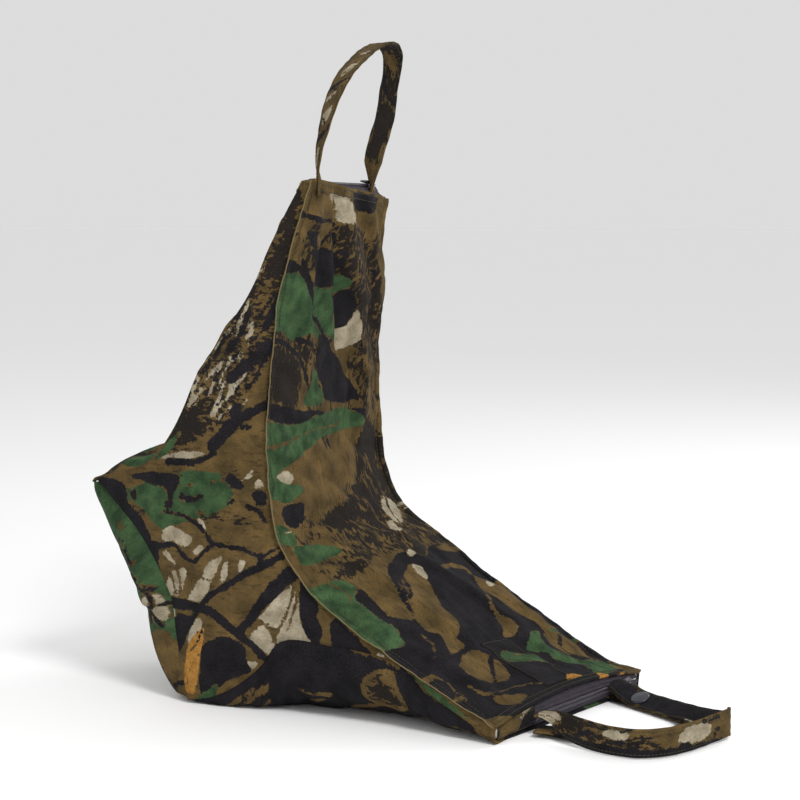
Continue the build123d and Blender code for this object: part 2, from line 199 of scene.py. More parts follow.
def saddle_shape(s, y, total):
    """How far the saddle panel stands out. s runs from the upper mouth to the lower one."""
    crown = np.clip(1 - (y / HALF_WIDTH) ** 2, 0, 1) ** 0.7
    out = crown * (3 + 5 * bump(s, 60, 70) + 9 * bump(s, 340, 130))
    # Two folds fall from the foot of the upper handle across the upright limb.
    out += fold(s, y, [(-20, -56), (45, -22), (90, 24), (140, 48), (200, 56)], 12, 24, 8)
    out += fold(s, y, [(-20, 8), (40, 44), (80, 74), (130, 96)], 9, 20, 7)
    out += fold(s, y, [(-20, -92), (40, -78), (100, -62), (160, -40)], 6, 9, 9)
    out += fold(s, y, [(-20, -74), (30, -60), (80, -34), (120, -10)], 5, 8, 8)
    out += fold(s, y, [(-20, 60), (30, 70), (90, 92)], 5, 8, 8)
    out -= fold(s, y, [(-20, -66), (30, -48), (90, -6), (150, 30)], 5, 7, 7)
    # Slack cloth lies in long low ridges on the lying limb.
    out += fold(s, y, [(250, -50), (310, -42), (370, -36), (420, -22), (470, -14)], 5, 20, 9)
    out += fold(s, y, [(290, 20), (350, 34), (400, 42), (450, 40)], 4, 14, 9)
    out += fold(s, y, [(330, 62), (390, 72), (440, 84)], 3.5, 12, 8)
    out += fold(s, y, [(380, -84), (430, -70), (470, -60)], 3, 10, 8)
    return out


def back_shape(s, y, total):
    crown = np.clip(1 - (y / HALF_WIDTH) ** 2, 0, 1) ** 0.7
    out = crown * (5 + 9 * bump(s, 25, 60) + 5 * bump(s, 150, 90))
    out -= 6 * crown * bump(s, 52, 26)
    out += fold(s, y, [(300, -40), (240, -10), (180, 30), (130, 40)], 6, 16, 10)
    out += fold(s, y, [(300, 40), (240, 60), (170, 55)], 5, 12, 12)
    return out


def head_shape(s, y, total):
    across = 1 - np.exp(-(HALF_WIDTH - np.abs(y)) / 9.0)
    along = np.clip(np.sin(math.pi * np.clip(s / total, 0, 1) ** 0.9), 0, 1) ** 0.42
    return 43 * across * along


def belly_profile(near, far, reach):
    """A section of the belly: it bulges down from each seam to the floor and lies flat between."""
    turn = np.linspace(0, math.pi / 2, 16)
    first = [
        (near[0], near[1] - 5 * math.sin(2 * t) * min(1, near[2] / 40) + (1 - math.cos(t)) * reach,
         near[2] * (1 - math.sin(t)))
        for t in turn
    ]
    last = [
        (far[0], far[1] + 5 * math.sin(2 * t) * min(1, far[2] / 40) - (1 - math.cos(t)) * reach,
         far[2] * (1 - math.sin(t)))
        for t in turn[::-1]
    ]
    return np.array(first + last)


def strip_panel(name, across, shape=None):
    """(points, flat coordinates) of a panel that runs from the near seam to the far one."""
    near, far = (smooth(SEAMS[side][name]) for side in ("near", "far"))
    rows = round((len(near) + len(far)) / 2)
    near, far = (smooth(SEAMS[side][name], rows) for side in ("near", "far"))
    v = np.linspace(0, 1, across)[None, :, None]
    grid = near[:, None] * (1 - v) + far[:, None] * v
    if name == "belly":
        run = np.linspace(0, 1, rows)
        reach = 6 + 56 * bump(run, 0.42, 0.5) ** 0.7
        grid = np.array([evenly(belly_profile(a, b, r), across) for a, b, r in zip(near, far, reach)])
    if name == "saddle":
        # The mouth's upper lip rises in its middle.
        gape = np.clip((np.linspace(0, 1, rows) - 0.84) / 0.16, 0, 1)[:, None] ** 1.5
        grid[..., 2] += 8.5 * gape * (1 - np.linspace(-1, 1, across)[None, :] ** 2)
    middle = (near + far) / 2
    s = np.concatenate([[0], np.cumsum(np.linalg.norm(np.diff(middle, axis=0), axis=1))])
    flat = np.stack(np.meshgrid(s, np.linspace(-HALF_WIDTH, HALF_WIDTH, across), indexing="ij"), axis=-1)
    if shape:
        out = np.cross(np.gradient(grid, axis=0), np.gradient(grid, axis=1))
        out /= np.linalg.norm(out, axis=-1, keepdims=True)
        edge = 1.0 if name == "head" else np.clip((HALF_WIDTH - np.abs(flat[..., 1])) / 6, 0, 1)
        calm = {"saddle": np.clip(1.2 * (s[-1] - s) / 30 + 0.15, 0, 1), "head": np.ones_like(s)}
        hem = calm.get(name, np.clip(s / 25, 0, 1))
        lift = shape(flat[..., 0], flat[..., 1], s[-1]) * edge
        grid = grid + out * (lift * hem[:, None])[..., None]
    return grid, flat


def side_points(side):
    """The side panel's boundary, clockwise, with the short edges at both mouths."""
    runs = [bag_seams[side][name] for name in ("back", "saddle", "belly", "head")]
    return np.vstack([run[:-1] if i in (2, 3) else run for i, run in enumerate(runs)])


def side_panel(side):
    """(points, triangles, flat coordinates) of a side panel, filled with even triangles."""
    sign = -1 if side == "near" else 1
    edge = side_points(side)
    flat_edge = edge[:, [0, 2]]
    low, high = flat_edge.min(0), flat_edge.max(0)
    inner = []
    row_height = CELL * math.sqrt(3) / 2
    for r in range(int((high[1] - low[1]) / row_height) + 1):
        for c in range(int((high[0] - low[0]) / CELL) + 1):
            inner.append((low[0] + (c + 0.5 * (r % 2)) * CELL, low[1] + r * row_height))
    inner = np.array(inner)
    a, b = flat_edge, np.roll(flat_edge, -1, axis=0)
    crossing = (a[None, :, 1] > inner[:, None, 1]) != (b[None, :, 1] > inner[:, None, 1])
    rise = np.where(b[:, 1] == a[:, 1], 1e-9, b[:, 1] - a[:, 1])
    hit = (b[:, 0] - a[:, 0])[None] * (inner[:, None, 1] - a[None, :, 1]) / rise[None] + a[None, :, 0]
    inside = (crossing & (inner[:, None, 0] < hit)).sum(1) % 2 == 1
    gap = np.linalg.norm(inner[:, None] - flat_edge[None], axis=2).min(1)
    inner, gap = inner[inside & (gap > CELL * 0.6)], gap[inside & (gap > CELL * 0.6)]
    flat = np.vstack([flat_edge, inner])
    count = len(flat_edge)
    found = delaunay_2d_cdt(
        [Vector(p) for p in flat], [(i, (i + 1) % count) for i in range(count)], [list(range(count))], 1, 1e-4
    )
    triangles = list(found[2])
    assert len(found[0]) == len(flat), "the outline crosses itself"
    flat = np.array([tuple(v) for v in found[0]])
    reach = np.concatenate([np.zeros(count), gap])
    bulge = 8.0 * (1 - np.exp(-reach / 22.0))
    points = np.stack([flat[:, 0], np.zeros(len(flat)), flat[:, 1]], axis=1)
    points[:count, 1] = edge[:, 1]
    points[count:, 1] = sign * (HALF_WIDTH + bulge[count:])
    points[:, 1] += side_shape(flat[:, 0], flat[:, 1]) * -sign * np.clip(reach / 12, 0, 1)
    return points, triangles, flat


def side_shape(x, z):
    """How far a side panel dents in: where the limbs pull it from the head, it creases."""
    dent = fold(x, z, [(-170, 176), (-140, 166), (-105, 168), (-70, 176)], 4, 10, 7)
    dent += fold(x, z, [(-44, 50), (-40, 80), (-28, 110)], 5, 9, 14)
    dent += fold(x, z, [(-95, 118), (-60, 128), (-44, 140)], 2, 7, 7)
    dent += fold(x, z, [(-90, 146), (-60, 150), (-46, 160)], 2, 7, 7)
    return dent


def add_panel(bm, uv, points, faces, flat, index):
    verts = [bm.verts.new(Vector(p) * MM) for p in points]
    for face in faces:
        made = bm.faces.new([verts[i] for i in face])
        made.material_index, made.smooth = index, True
        for loop, i in zip(made.loops, face):
            loop[uv].uv = (flat[i][0] * MM, flat[i][1] * MM)


def grid_faces(rows, columns):
    return [
        (r * columns + c, (r + 1) * columns + c, (r + 1) * columns + c + 1, r * columns + c + 1)
        for r in range(rows - 1)
        for c in range(columns - 1)
    ]


def build_bag():
    """The whole bag as one mesh whose panels share their seam points. A face's material index is its panel."""
    across = round(2 * HALF_WIDTH / CELL) + 1
    bm = bmesh.new()
    uv = bm.loops.layers.uv.new(UV)
    shapes = {"back": back_shape, "saddle": saddle_shape, "belly": None, "head": head_shape}
    for index, (name, shape) in enumerate(shapes.items()):
        grid, flat = strip_panel(name, across, shape)
        bag_seams["near"][name], bag_seams["far"][name] = grid[:, 0], grid[:, -1]
        add_panel(bm, uv, grid.reshape(-1, 3), grid_faces(*grid.shape[:2]), flat.reshape(-1, 2), index)
    for index, side in ((4, "near"), (5, "far")):
        points, triangles, flat = side_panel(side)
        if side == "near":
            triangles = [t[::-1] for t in triangles]
        add_panel(bm, uv, points, triangles, flat, index)
    bmesh.ops.remove_doubles(bm, verts=bm.verts, dist=0.05 * MM)
    for face in bm.faces:
        if face.material_index > 3:
            out = -1 if face.material_index == 4 else 1
            face.normal_update()
            if face.normal.y * out < 0:
                face.normal_flip()
    mesh = bpy.data.meshes.new("bag")
    bm.to_mesh(mesh)
    bm.free()
    bag = bpy.data.objects.new("bag", mesh)
    bpy.context.scene.collection.objects.link(bag)
    return bag


bag_seams = {"near": {}, "far": {}}


def simulate(bag):
    """Settles the sewn bag under the push of its filling, held near its drawn shape, and slightly too large."""
    start = np.array([v.co for v in bag.data.vertices])
    across = start[:, 1] / (HALF_WIDTH * MM)
    at_mouth = (start[:, 2] > 372 * MM) | (start[:, 0] > 128 * MM)
    hold = bag.vertex_groups.new(name="hold")
    seam = bag.vertex_groups.new(name="seam")
    seam_points = {
        v
        for edge in bag.data.edges
        for v in edge.vertices
        if abs(across[v]) > 0.985
    }
    for i in range(len(start)):
        hold.add([i], 0.9 if at_mouth[i] else (0.35 if i in seam_points else 0.12), "REPLACE")
        seam.add([i], 1.0 if i in seam_points else 0.0, "REPLACE")
    cloth = bag.modifiers.new("cloth", "CLOTH")
    settings = cloth.settings
    settings.quality = 5
    settings.mass = 0.2
    settings.tension_stiffness = settings.compression_stiffness = 18
    settings.shear_stiffness = 8
    settings.bending_stiffness = 0.25
    settings.use_pressure = True
    settings.uniform_pressure_force = 1.2
    settings.vertex_group_mass = "hold"
    settings.pin_stiffness = 1.0
    settings.vertex_group_shrink = "seam"
    settings.shrink_min, settings.shrink_max = -0.035, 0.0
    settings.effector_weights.gravity = 0
    cloth.collision_settings.use_collision = False
    cloth.point_cache.frame_end = SIMULATED_FRAMES
    for number in range(1, SIMULATED_FRAMES + 1):
        bpy.context.scene.frame_set(number)
    settled = bag.evaluated_get(bpy.context.evaluated_depsgraph_get()).to_mesh()
    end = np.array([v.co for v in settled.vertices])
    bag.modifiers.remove(cloth)
    bpy.context.scene.frame_set(1)
    step = end - start
    far = np.linalg.norm(step, axis=1, keepdims=True)
    step *= np.minimum(1, MOST_MOVE_M / np.maximum(far, 1e-9))
    end = start + step
    end[:, 2] = np.maximum(end[:, 2], 0.4 * MM)
    bag.data.vertices.foreach_set("co", end.astype(np.float32).ravel())
    bag.data.update()


# ---- Print: each panel's pattern is drawn in its flat coordinates -------------------------------------------
# Each colour is kept as a distance field at the mesh points, which the cloth material cuts off sharply.
COLOURS = ("tan", "green", "black", "bark", "orange")
FAR_AWAY = 30.0


def patch(colour, *corners):
    """A filled shape with slightly rounded corners."""
    points = np.array(corners, float)
    ahead = np.roll(points, -1, axis=0)
    rounded = np.stack([points * 0.8 + ahead * 0.2, points * 0.2 + ahead * 0.8], axis=1).reshape(-1, 2)
    return ("patch", colour, rounded, 0.0)


def stroke(colour, width, *points):
    """A branch or vein: a smooth line that thins towards its last point."""
    return ("stroke", colour, smooth(points, 6 * len(points)), width)


def distance_to(motif, s, y):
    kind, _, points, width = motif
    if kind == "stroke":
        away, along = away_from_line(s, y, points)
        return np.abs(away) - width * (0.5 - 0.2 * along)
    ends = np.roll(points, -1, axis=0)
    best, inside = np.full(s.shape, 1e9), np.zeros(s.shape, bool)
    for a, b in zip(points, ends):
        d = b - a
        t = np.clip(((s - a[0]) * d[0] + (y - a[1]) * d[1]) / max(d @ d, 1e-9), 0, 1)
        best = np.minimum(best, np.hypot(s - a[0] - t * d[0], y - a[1] - t * d[1]))
        if a[1] != b[1]:
            hit = a[0] + (y - a[1]) * d[0] / d[1]
            inside ^= ((a[1] > y) != (b[1] > y)) & (s < hit)
    return np.where(inside, -best, best)


def paint(motifs, s, y):
    """The five distance fields of a list of motifs, painted in order, so that a later one covers an earlier one."""
    fields = {c: np.full(s.shape, FAR_AWAY) for c in COLOURS}
    for motif in motifs:
        d = distance_to(motif, s, y)
        for colour in COLOURS:
            if colour == motif[1]:
                fields[colour] = np.minimum(fields[colour], d)
            else:
                fields[colour] = np.maximum(fields[colour], -d)
    return fields


def put_print(obj, motifs):
    """Stores a piece's print at its points, read from its flat coordinates."""
    mesh = obj.data
    flat = np.zeros((len(mesh.vertices), 2))
    corner = np.zeros(len(mesh.loops), int)
    mesh.loops.foreach_get("vertex_index", corner)
    uv = np.zeros(len(mesh.loops) * 2)
    mesh.uv_layers[UV].data.foreach_get("uv", uv)
    flat[corner] = uv.reshape(-1, 2) / MM
    across = np.clip(flat[:, 1], -92, 92) if motifs is SADDLE_PRINT else flat[:, 1]
    fields = paint(motifs, flat[:, 0], across)
    for name, trio in (("print_a", COLOURS[:3]), ("print_b", COLOURS[3:] + (None,))):
        values = np.stack([fields[c] if c else np.zeros(len(flat)) for c in trio], axis=1)
        layer = mesh.attributes.new(name, "FLOAT_VECTOR", "POINT")
        layer.data.foreach_set("vector", np.clip(values, -6, 6).astype(np.float32).ravel())


def leaf_points(x, y, angle, length, width):
    """The outline of a pointed leaf that starts at (x, y)."""
    shape = ((0, 0), (0.25, 0.8), (0.55, 1), (0.85, 0.55), (1, 0), (0.8, -0.5), (0.5, -0.95), (0.2, -0.7))
    c, s = math.cos(angle), math.sin(angle)
    return [
        (x + u * length * c - v * width / 2 * s, y + u * length * s + v * width / 2 * c) for u, v in shape
    ]


def fan_of_leaves(rng, colour, x, y, size):
    """Leaves that spread from one stem, with brown veins."""
    turn = rng.uniform(0, 2 * math.pi)
    made = []
    for k in range(rng.randint(2, 4)):
        angle = turn + (k - 1) * rng.uniform(0.35, 0.7)
        length, width = size * rng.uniform(0.8, 1.2), size * rng.uniform(0.25, 0.4)
        made.append(patch(colour, *leaf_points(x, y, angle, length, width)))
        end = (x + length * 0.9 * math.cos(angle), y + length * 0.9 * math.sin(angle))
        middle = ((x + end[0]) / 2 + rng.uniform(-1, 1), (y + end[1]) / 2 + rng.uniform(-1, 1))
        made.append(stroke("brown", 2.2, (x, y), middle, end))
    return made


def branch(rng, colour, x, y, angle, length, width):
    """A forked branch that wanders."""
    points = [(x, y)]
    for _ in range(5):
        angle += rng.uniform(-0.45, 0.45)
        points.append((points[-1][0] + length / 5 * math.cos(angle), points[-1][1] + length / 5 * math.sin(angle)))
    made = [stroke(colour, width, *points)]
    for k in (1, 3):
        side = angle + rng.choice((-1, 1)) * rng.uniform(0.5, 1.0)
        a = points[k]
        b = (a[0] + length * 0.2 * math.cos(side), a[1] + length * 0.2 * math.sin(side))
        c = (a[0] + length * 0.4 * math.cos(side + 0.3), a[1] + length * 0.4 * math.sin(side + 0.3))
        made.append(stroke(colour, width * 0.65, a, b, c))
    return made


def ragged_patch(rng, colour, x, y, size):
    """A loose shape with lobes."""
    count = rng.randint(7, 11)
    start = rng.uniform(0, 6)
    corners = []
    for k in range(count):
        reach = size / 2 * rng.uniform(0.55, 1.15)
        corners.append((x + 1.4 * reach * math.cos(start + 6.283 * k / count),
                        y + reach * math.sin(start + 6.283 * k / count)))
    return [patch(colour, *corners)]


def scattered_print(seed, s_range, y_range):
    """A panel's worth of the print, for cloth that has no set motifs."""
    rng = random.Random(seed)
    area = (s_range[1] - s_range[0]) * (y_range[1] - y_range[0])
    spot = lambda: (rng.uniform(*s_range), rng.uniform(*y_range))
    made = []
    for _ in range(round(area / 2600)):
        made += ragged_patch(rng, "bark", *spot(), rng.uniform(22, 48))
    for _ in range(round(area / 5200)):
        made += ragged_patch(rng, "green", *spot(), rng.uniform(18, 42))
    for _ in range(round(area / 5200)):
        made += fan_of_leaves(rng, "tan", *spot(), rng.uniform(26, 46))
    for _ in range(round(area / 7000)):
        made += ragged_patch(rng, "black", *spot(), rng.uniform(16, 40))
    for _ in range(round(area / 5200)):
        made += branch(rng, "black", *spot(), rng.uniform(0, 6.28), rng.uniform(60, 110), rng.uniform(3, 6))
    for _ in range(round(area / 20000)):
        made += fan_of_leaves(rng, "orange", *spot(), rng.uniform(12, 24))
    return made


def dashes(colour, seed, count, s_range, y_range, angle, length, width):
    """Short bark marks that all run about the same way."""
    rng = random.Random(seed)
    made = []
    for _ in range(count):
        x, y = rng.uniform(*s_range), rng.uniform(*y_range)
        turn, size = angle + rng.uniform(-0.25, 0.25), length * rng.uniform(0.5, 1.3)
        end = (x + size * math.cos(turn), y + size * math.sin(turn))
        middle = ((x + end[0]) / 2 + rng.uniform(-1.5, 1.5), (y + end[1]) / 2 + rng.uniform(-1.5, 1.5))
        made.append(stroke(colour, width * rng.uniform(0.6, 1.3), (x, y), middle, end))
    return made


# This table and the next follow the photographed print. Most of their points started as photo positions that a
# scratch program projected onto the panels, and some of them were then moved by hand.
# Saddle panel: s runs down from the upper mouth, y from the near seam at -100 to the far one.
SADDLE_PRINT = [
    patch("bark", (28, -70), (28, 20), (60, 60), (96, 96), (130, 96), (128, 40), (104, 20), (84, -10), (60, -40)),
    patch("bark", (112, -98), (112, -60), (126, -50), (150, -60), (176, -60), (176, -98)),
    *dashes("bark", 3, 30, (28, 130), (-95, 95), 0.15, 26, 6),
    *dashes("bark", 5, 30, (100, 180), (20, 98), 0.9, 16, 4),
    *dashes("bark", 8, 26, (120, 185), (-95, 0), 0.5, 20, 4),
    # Upright limb, down to the bend.
    patch("tan", (6, -73), (6, -50), (11, -12), (21, 14), (26, -41), (21, -52), (15, -62)),
    stroke("brown", 3.5, (7, -63), (12, -51), (24, -45)),
    patch("black", (2, -18), (0, 40), (4, 62), (17, 20), (11, -8), (5, -22)),
    stroke("black", 5, (26, -98), (27, -84), (26, -61)),
    patch("black", (36, -90), (36, -75), (45, -77), (51, -73), (48, -84), (42, -88)),
    patch("black", (63, -97), (65, -89), (71, -86), (79, -89), (76, -96)),
    patch("bark", (29, -42), (29, -18), (38, 18), (50, 42), (68, 61), (86, 40), (86, 15), (68, -2), (55, -22),
          (40, -34)),
    *dashes("black", 15, 34, (24, 66), (-70, 60), 0.25, 20, 2.6),
    *dashes("black", 16, 18, (84, 130), (30, 90), 0.6, 18, 2.4),
    *dashes("brown", 17, 16, (28, 62), (-60, 40), 0.3, 16, 2.2),
    patch("black", (50, -80), (48, -60), (47, -34), (57, -22), (72, -34), (78, -44), (77, -62), (66, -72)),
    patch("green", (68, -90), (73, -78), (77, -72), (77, -40), (71, -32), (63, -13), (70, -3), (84, -12), (94, -24),
          (109, -3), (118, -1), (108, -33), (116, -33), (111, -58), (121, -74), (113, -96), (95, -99), (78, -98)),
    stroke("black", 5, (60, -84), (80, -70), (93, -60), (106, -35), (118, -19), (131, 4)),
    stroke("black", 4, (63, -93), (67, -84), (73, -76)),
    patch("black", (72, -2), (88, 17), (102, 20), (109, 2), (101, -6), (94, -24), (84, -11)),
    patch("tan", (88, 18), (103, 30), (117, 33), (124, 11), (120, 5), (110, 2), (101, 20)),
    patch("black", (109, -34), (116, -11), (131, 8), (150, 40), (163, 48), (164, -18), (149, -22), (137, -34),
          (126, -33)),
    stroke("black", 5, (119, -97), (128, -72), (140, -56), (156, -44)),
    stroke("black", 4, (118, -70), (121, -54), (126, -34)),
    patch("green", (136, -41), (142, -30), (153, -24), (166, -16), (168, -52), (149, -43)),
    patch("green", (132, -99), (150, -96), (170, -95), (170, -99)),
    # The bend.
    patch("black", (166, -99), (170, -60), (172, 0), (166, 50), (176, 62), (182, 20), (186, -30), (184, -90)),
    patch("green", (180, -99), (182, -64), (176, -30), (166, 22), (172, 52), (181, 57), (188, -7), (202, -48),
          (216, -78), (222, -90), (227, -66), (231, -56), (242, -77), (236, -99)),
    stroke("brown", 2.5, (200, -98), (194, -70), (186, -30), (180, 10)),
    patch("tan", (221, -92), (216, -72), (222, -66), (228, -72), (225, -86)),
    patch("black", (190, -7), (196, -2), (203, 0), (197, -8)),
    patch("black", (248, -90), (242, -81), (241, -62), (251, -64), (260, -72), (259, -84)),
    patch("green", (254, -96), (258, -88), (262, -80), (272, -83), (272, -91), (262, -96)),
    stroke("tan", 1.6, (261, -92), (262, -86), (261, -81)),
    patch("bark", (168, 62), (190, 99), (216, 96), (236, 96), (256, 99), (292, 98), (340, 99), (344, 60), (330, 32),
          (318, 22), (302, 14), (298, -11), (314, -49), (309, -76), (297, -54), (285, -30), (272, -34), (262, -42),
          (254, -37), (247, -14), (243, 2), (232, 10), (226, 34), (199, 44)),
    *dashes("brown", 11, 34, (205, 300), (10, 96), 0.5, 11, 3),
    *dashes("brown", 12, 22, (258, 305), (-60, 10), 1.2, 12, 3.5),
    *dashes("bark", 13, 26, (255, 300), (-80, -25), 0.9, 6, 2.6),
    patch("tan", (237, 80), (249, 97), (262, 76), (274, 57), (266, 52), (249, 58)),
    stroke("black", 3, (240, 80), (256, 66), (272, 56)),
    patch("tan", (263, 49), (273, 53), (286, 39), (282, 27)),
    stroke("brown", 2.5, (244, 99), (262, 78), (280, 54), (288, 40)),
    patch("green", (273, -90), (275, -62), (285, -50), (292, -48), (290, -68), (290, -90)),
    patch("tan", (305, 18), (306, 29), (313, 22), (311, 16)),
    # Lying limb: mostly black, with brown between.
    patch("black", (306, -99), (322, -62), (340, -66), (362, -70), (372, -54), (345, -45), (320, -30), (302, 14),
          (318, 30), (300, 60), (300, 99), (482, 99), (484, 0), (482, -99), (400, -99)),
    patch("brown", (332, -30), (326, -8), (317, 8), (324, 13), (337, 7), (356, -8), (370, -20), (386, -22), (397, -36),
          (394, -45), (382, -56), (374, -54), (359, -46), (346, -42)),
    patch("tan", (318, 9), (323, 18), (332, 14), (339, 6), (330, 3)),
    patch("tan", (306, 17), (305, 28), (313, 22), (312, 16)),
    stroke("black", 4.5, (322, -14), (334, -20), (346, -30), (354, -41)),
    stroke("black", 4, (330, -24), (340, -32), (350, -44)),
    patch("brown", (291, 63), (296, 70), (302, 58), (298, 54)),
    patch("brown", (303, 65), (300, 99), (310, 90), (309, 68)),
    stroke("brown", 5, (332, 34), (326, 56), (330, 78), (342, 68), (354, 56), (368, 44), (380, 34), (392, 32)),
    patch("brown", (386, 30), (393, 38), (403, 40), (408, 29), (406, 16), (398, 26)),
    patch("brown", (350, 56), (344, 97), (360, 90), (376, 84), (390, 82), (404, 84), (420, 84), (428, 76), (416, 64),
          (400, 68), (390, 58), (378, 56), (366, 50)),
    patch("tan", (354, 64), (348, 84), (358, 74), (361, 61)),
    patch("brown", (387, -48), (394, -38), (408, -33), (413, -50), (413, -61), (402, -56)),
    patch("brown", (409, -32), (422, -23), (434, -23), (447, -28), (446, -50), (434, -71), (420, -64), (413, -48)),
    stroke("black", 4, (423, -24), (434, -36), (446, -50)),
    stroke("black", 6, (414, -62), (410, -46), (407, -30)),
    patch("brown", (455, -72), (462, -58), (470, -42), (476, -60), (468, -70)),
    stroke("brown", 2.5, (440, -76), (452, -72), (457, -52), (457, -35), (466, -19)),
    stroke("brown", 2, (418, -92), (432, -89), (446, -92), (456, -96)),
    stroke("brown", 2.5, (384, -62), (396, -66), (408, -78)),
    patch("green", (424, -16), (421, -4), (425, 6), (433, 24), (441, 20), (446, 16), (452, 30), (459, 44), (453, 34),
          (447, 18), (441, -6), (434, -14)),
    *dashes("tan", 21, 7, (426, 434), (-10, 8), 1.2, 5, 1.4),
    patch("green", (417, 34), (411, 46), (412, 58), (420, 50), (427, 44), (434, 48), (440, 60), (449, 70), (452, 92),
          (463, 90), (472, 84), (478, 62), (480, 42), (466, 52), (452, 58), (445, 34), (435, 36), (424, 22)),
    patch("brown", (413, 60), (416, 76), (424, 84), (436, 92), (452, 88), (444, 80), (440, 60), (428, 56)),
    stroke("green", 3, (412, 70), (424, 92), (444, 97), (462, 92)),
    stroke("black", 3, (420, 77), (434, 64), (446, 74), (454, 88)),
    stroke("black", 3, (444, 40), (452, 50), (462, 60)),
    patch("orange", (473, 4), (463, 22), (472, 32), (474, 18)),
    patch("orange", (471, 47), (475, 45), (483, 36), (484, 52), (478, 52)),
    stroke("orange", 2.5, (484, 40), (483, 62), (480, 78)),
    patch("green", (306, -93), (308, -79), (314, -66), (323, -64), (332, -76), (344, -78), (356, -78), (370, -76),
          (384, -80), (388, -88), (377, -98), (340, -99), (312, -99)),
    stroke("brown", 2.5, (310, -80), (322, -76), (338, -82)),
    stroke("green", 5, (380, -98), (400, -96), (424, -98)),
]

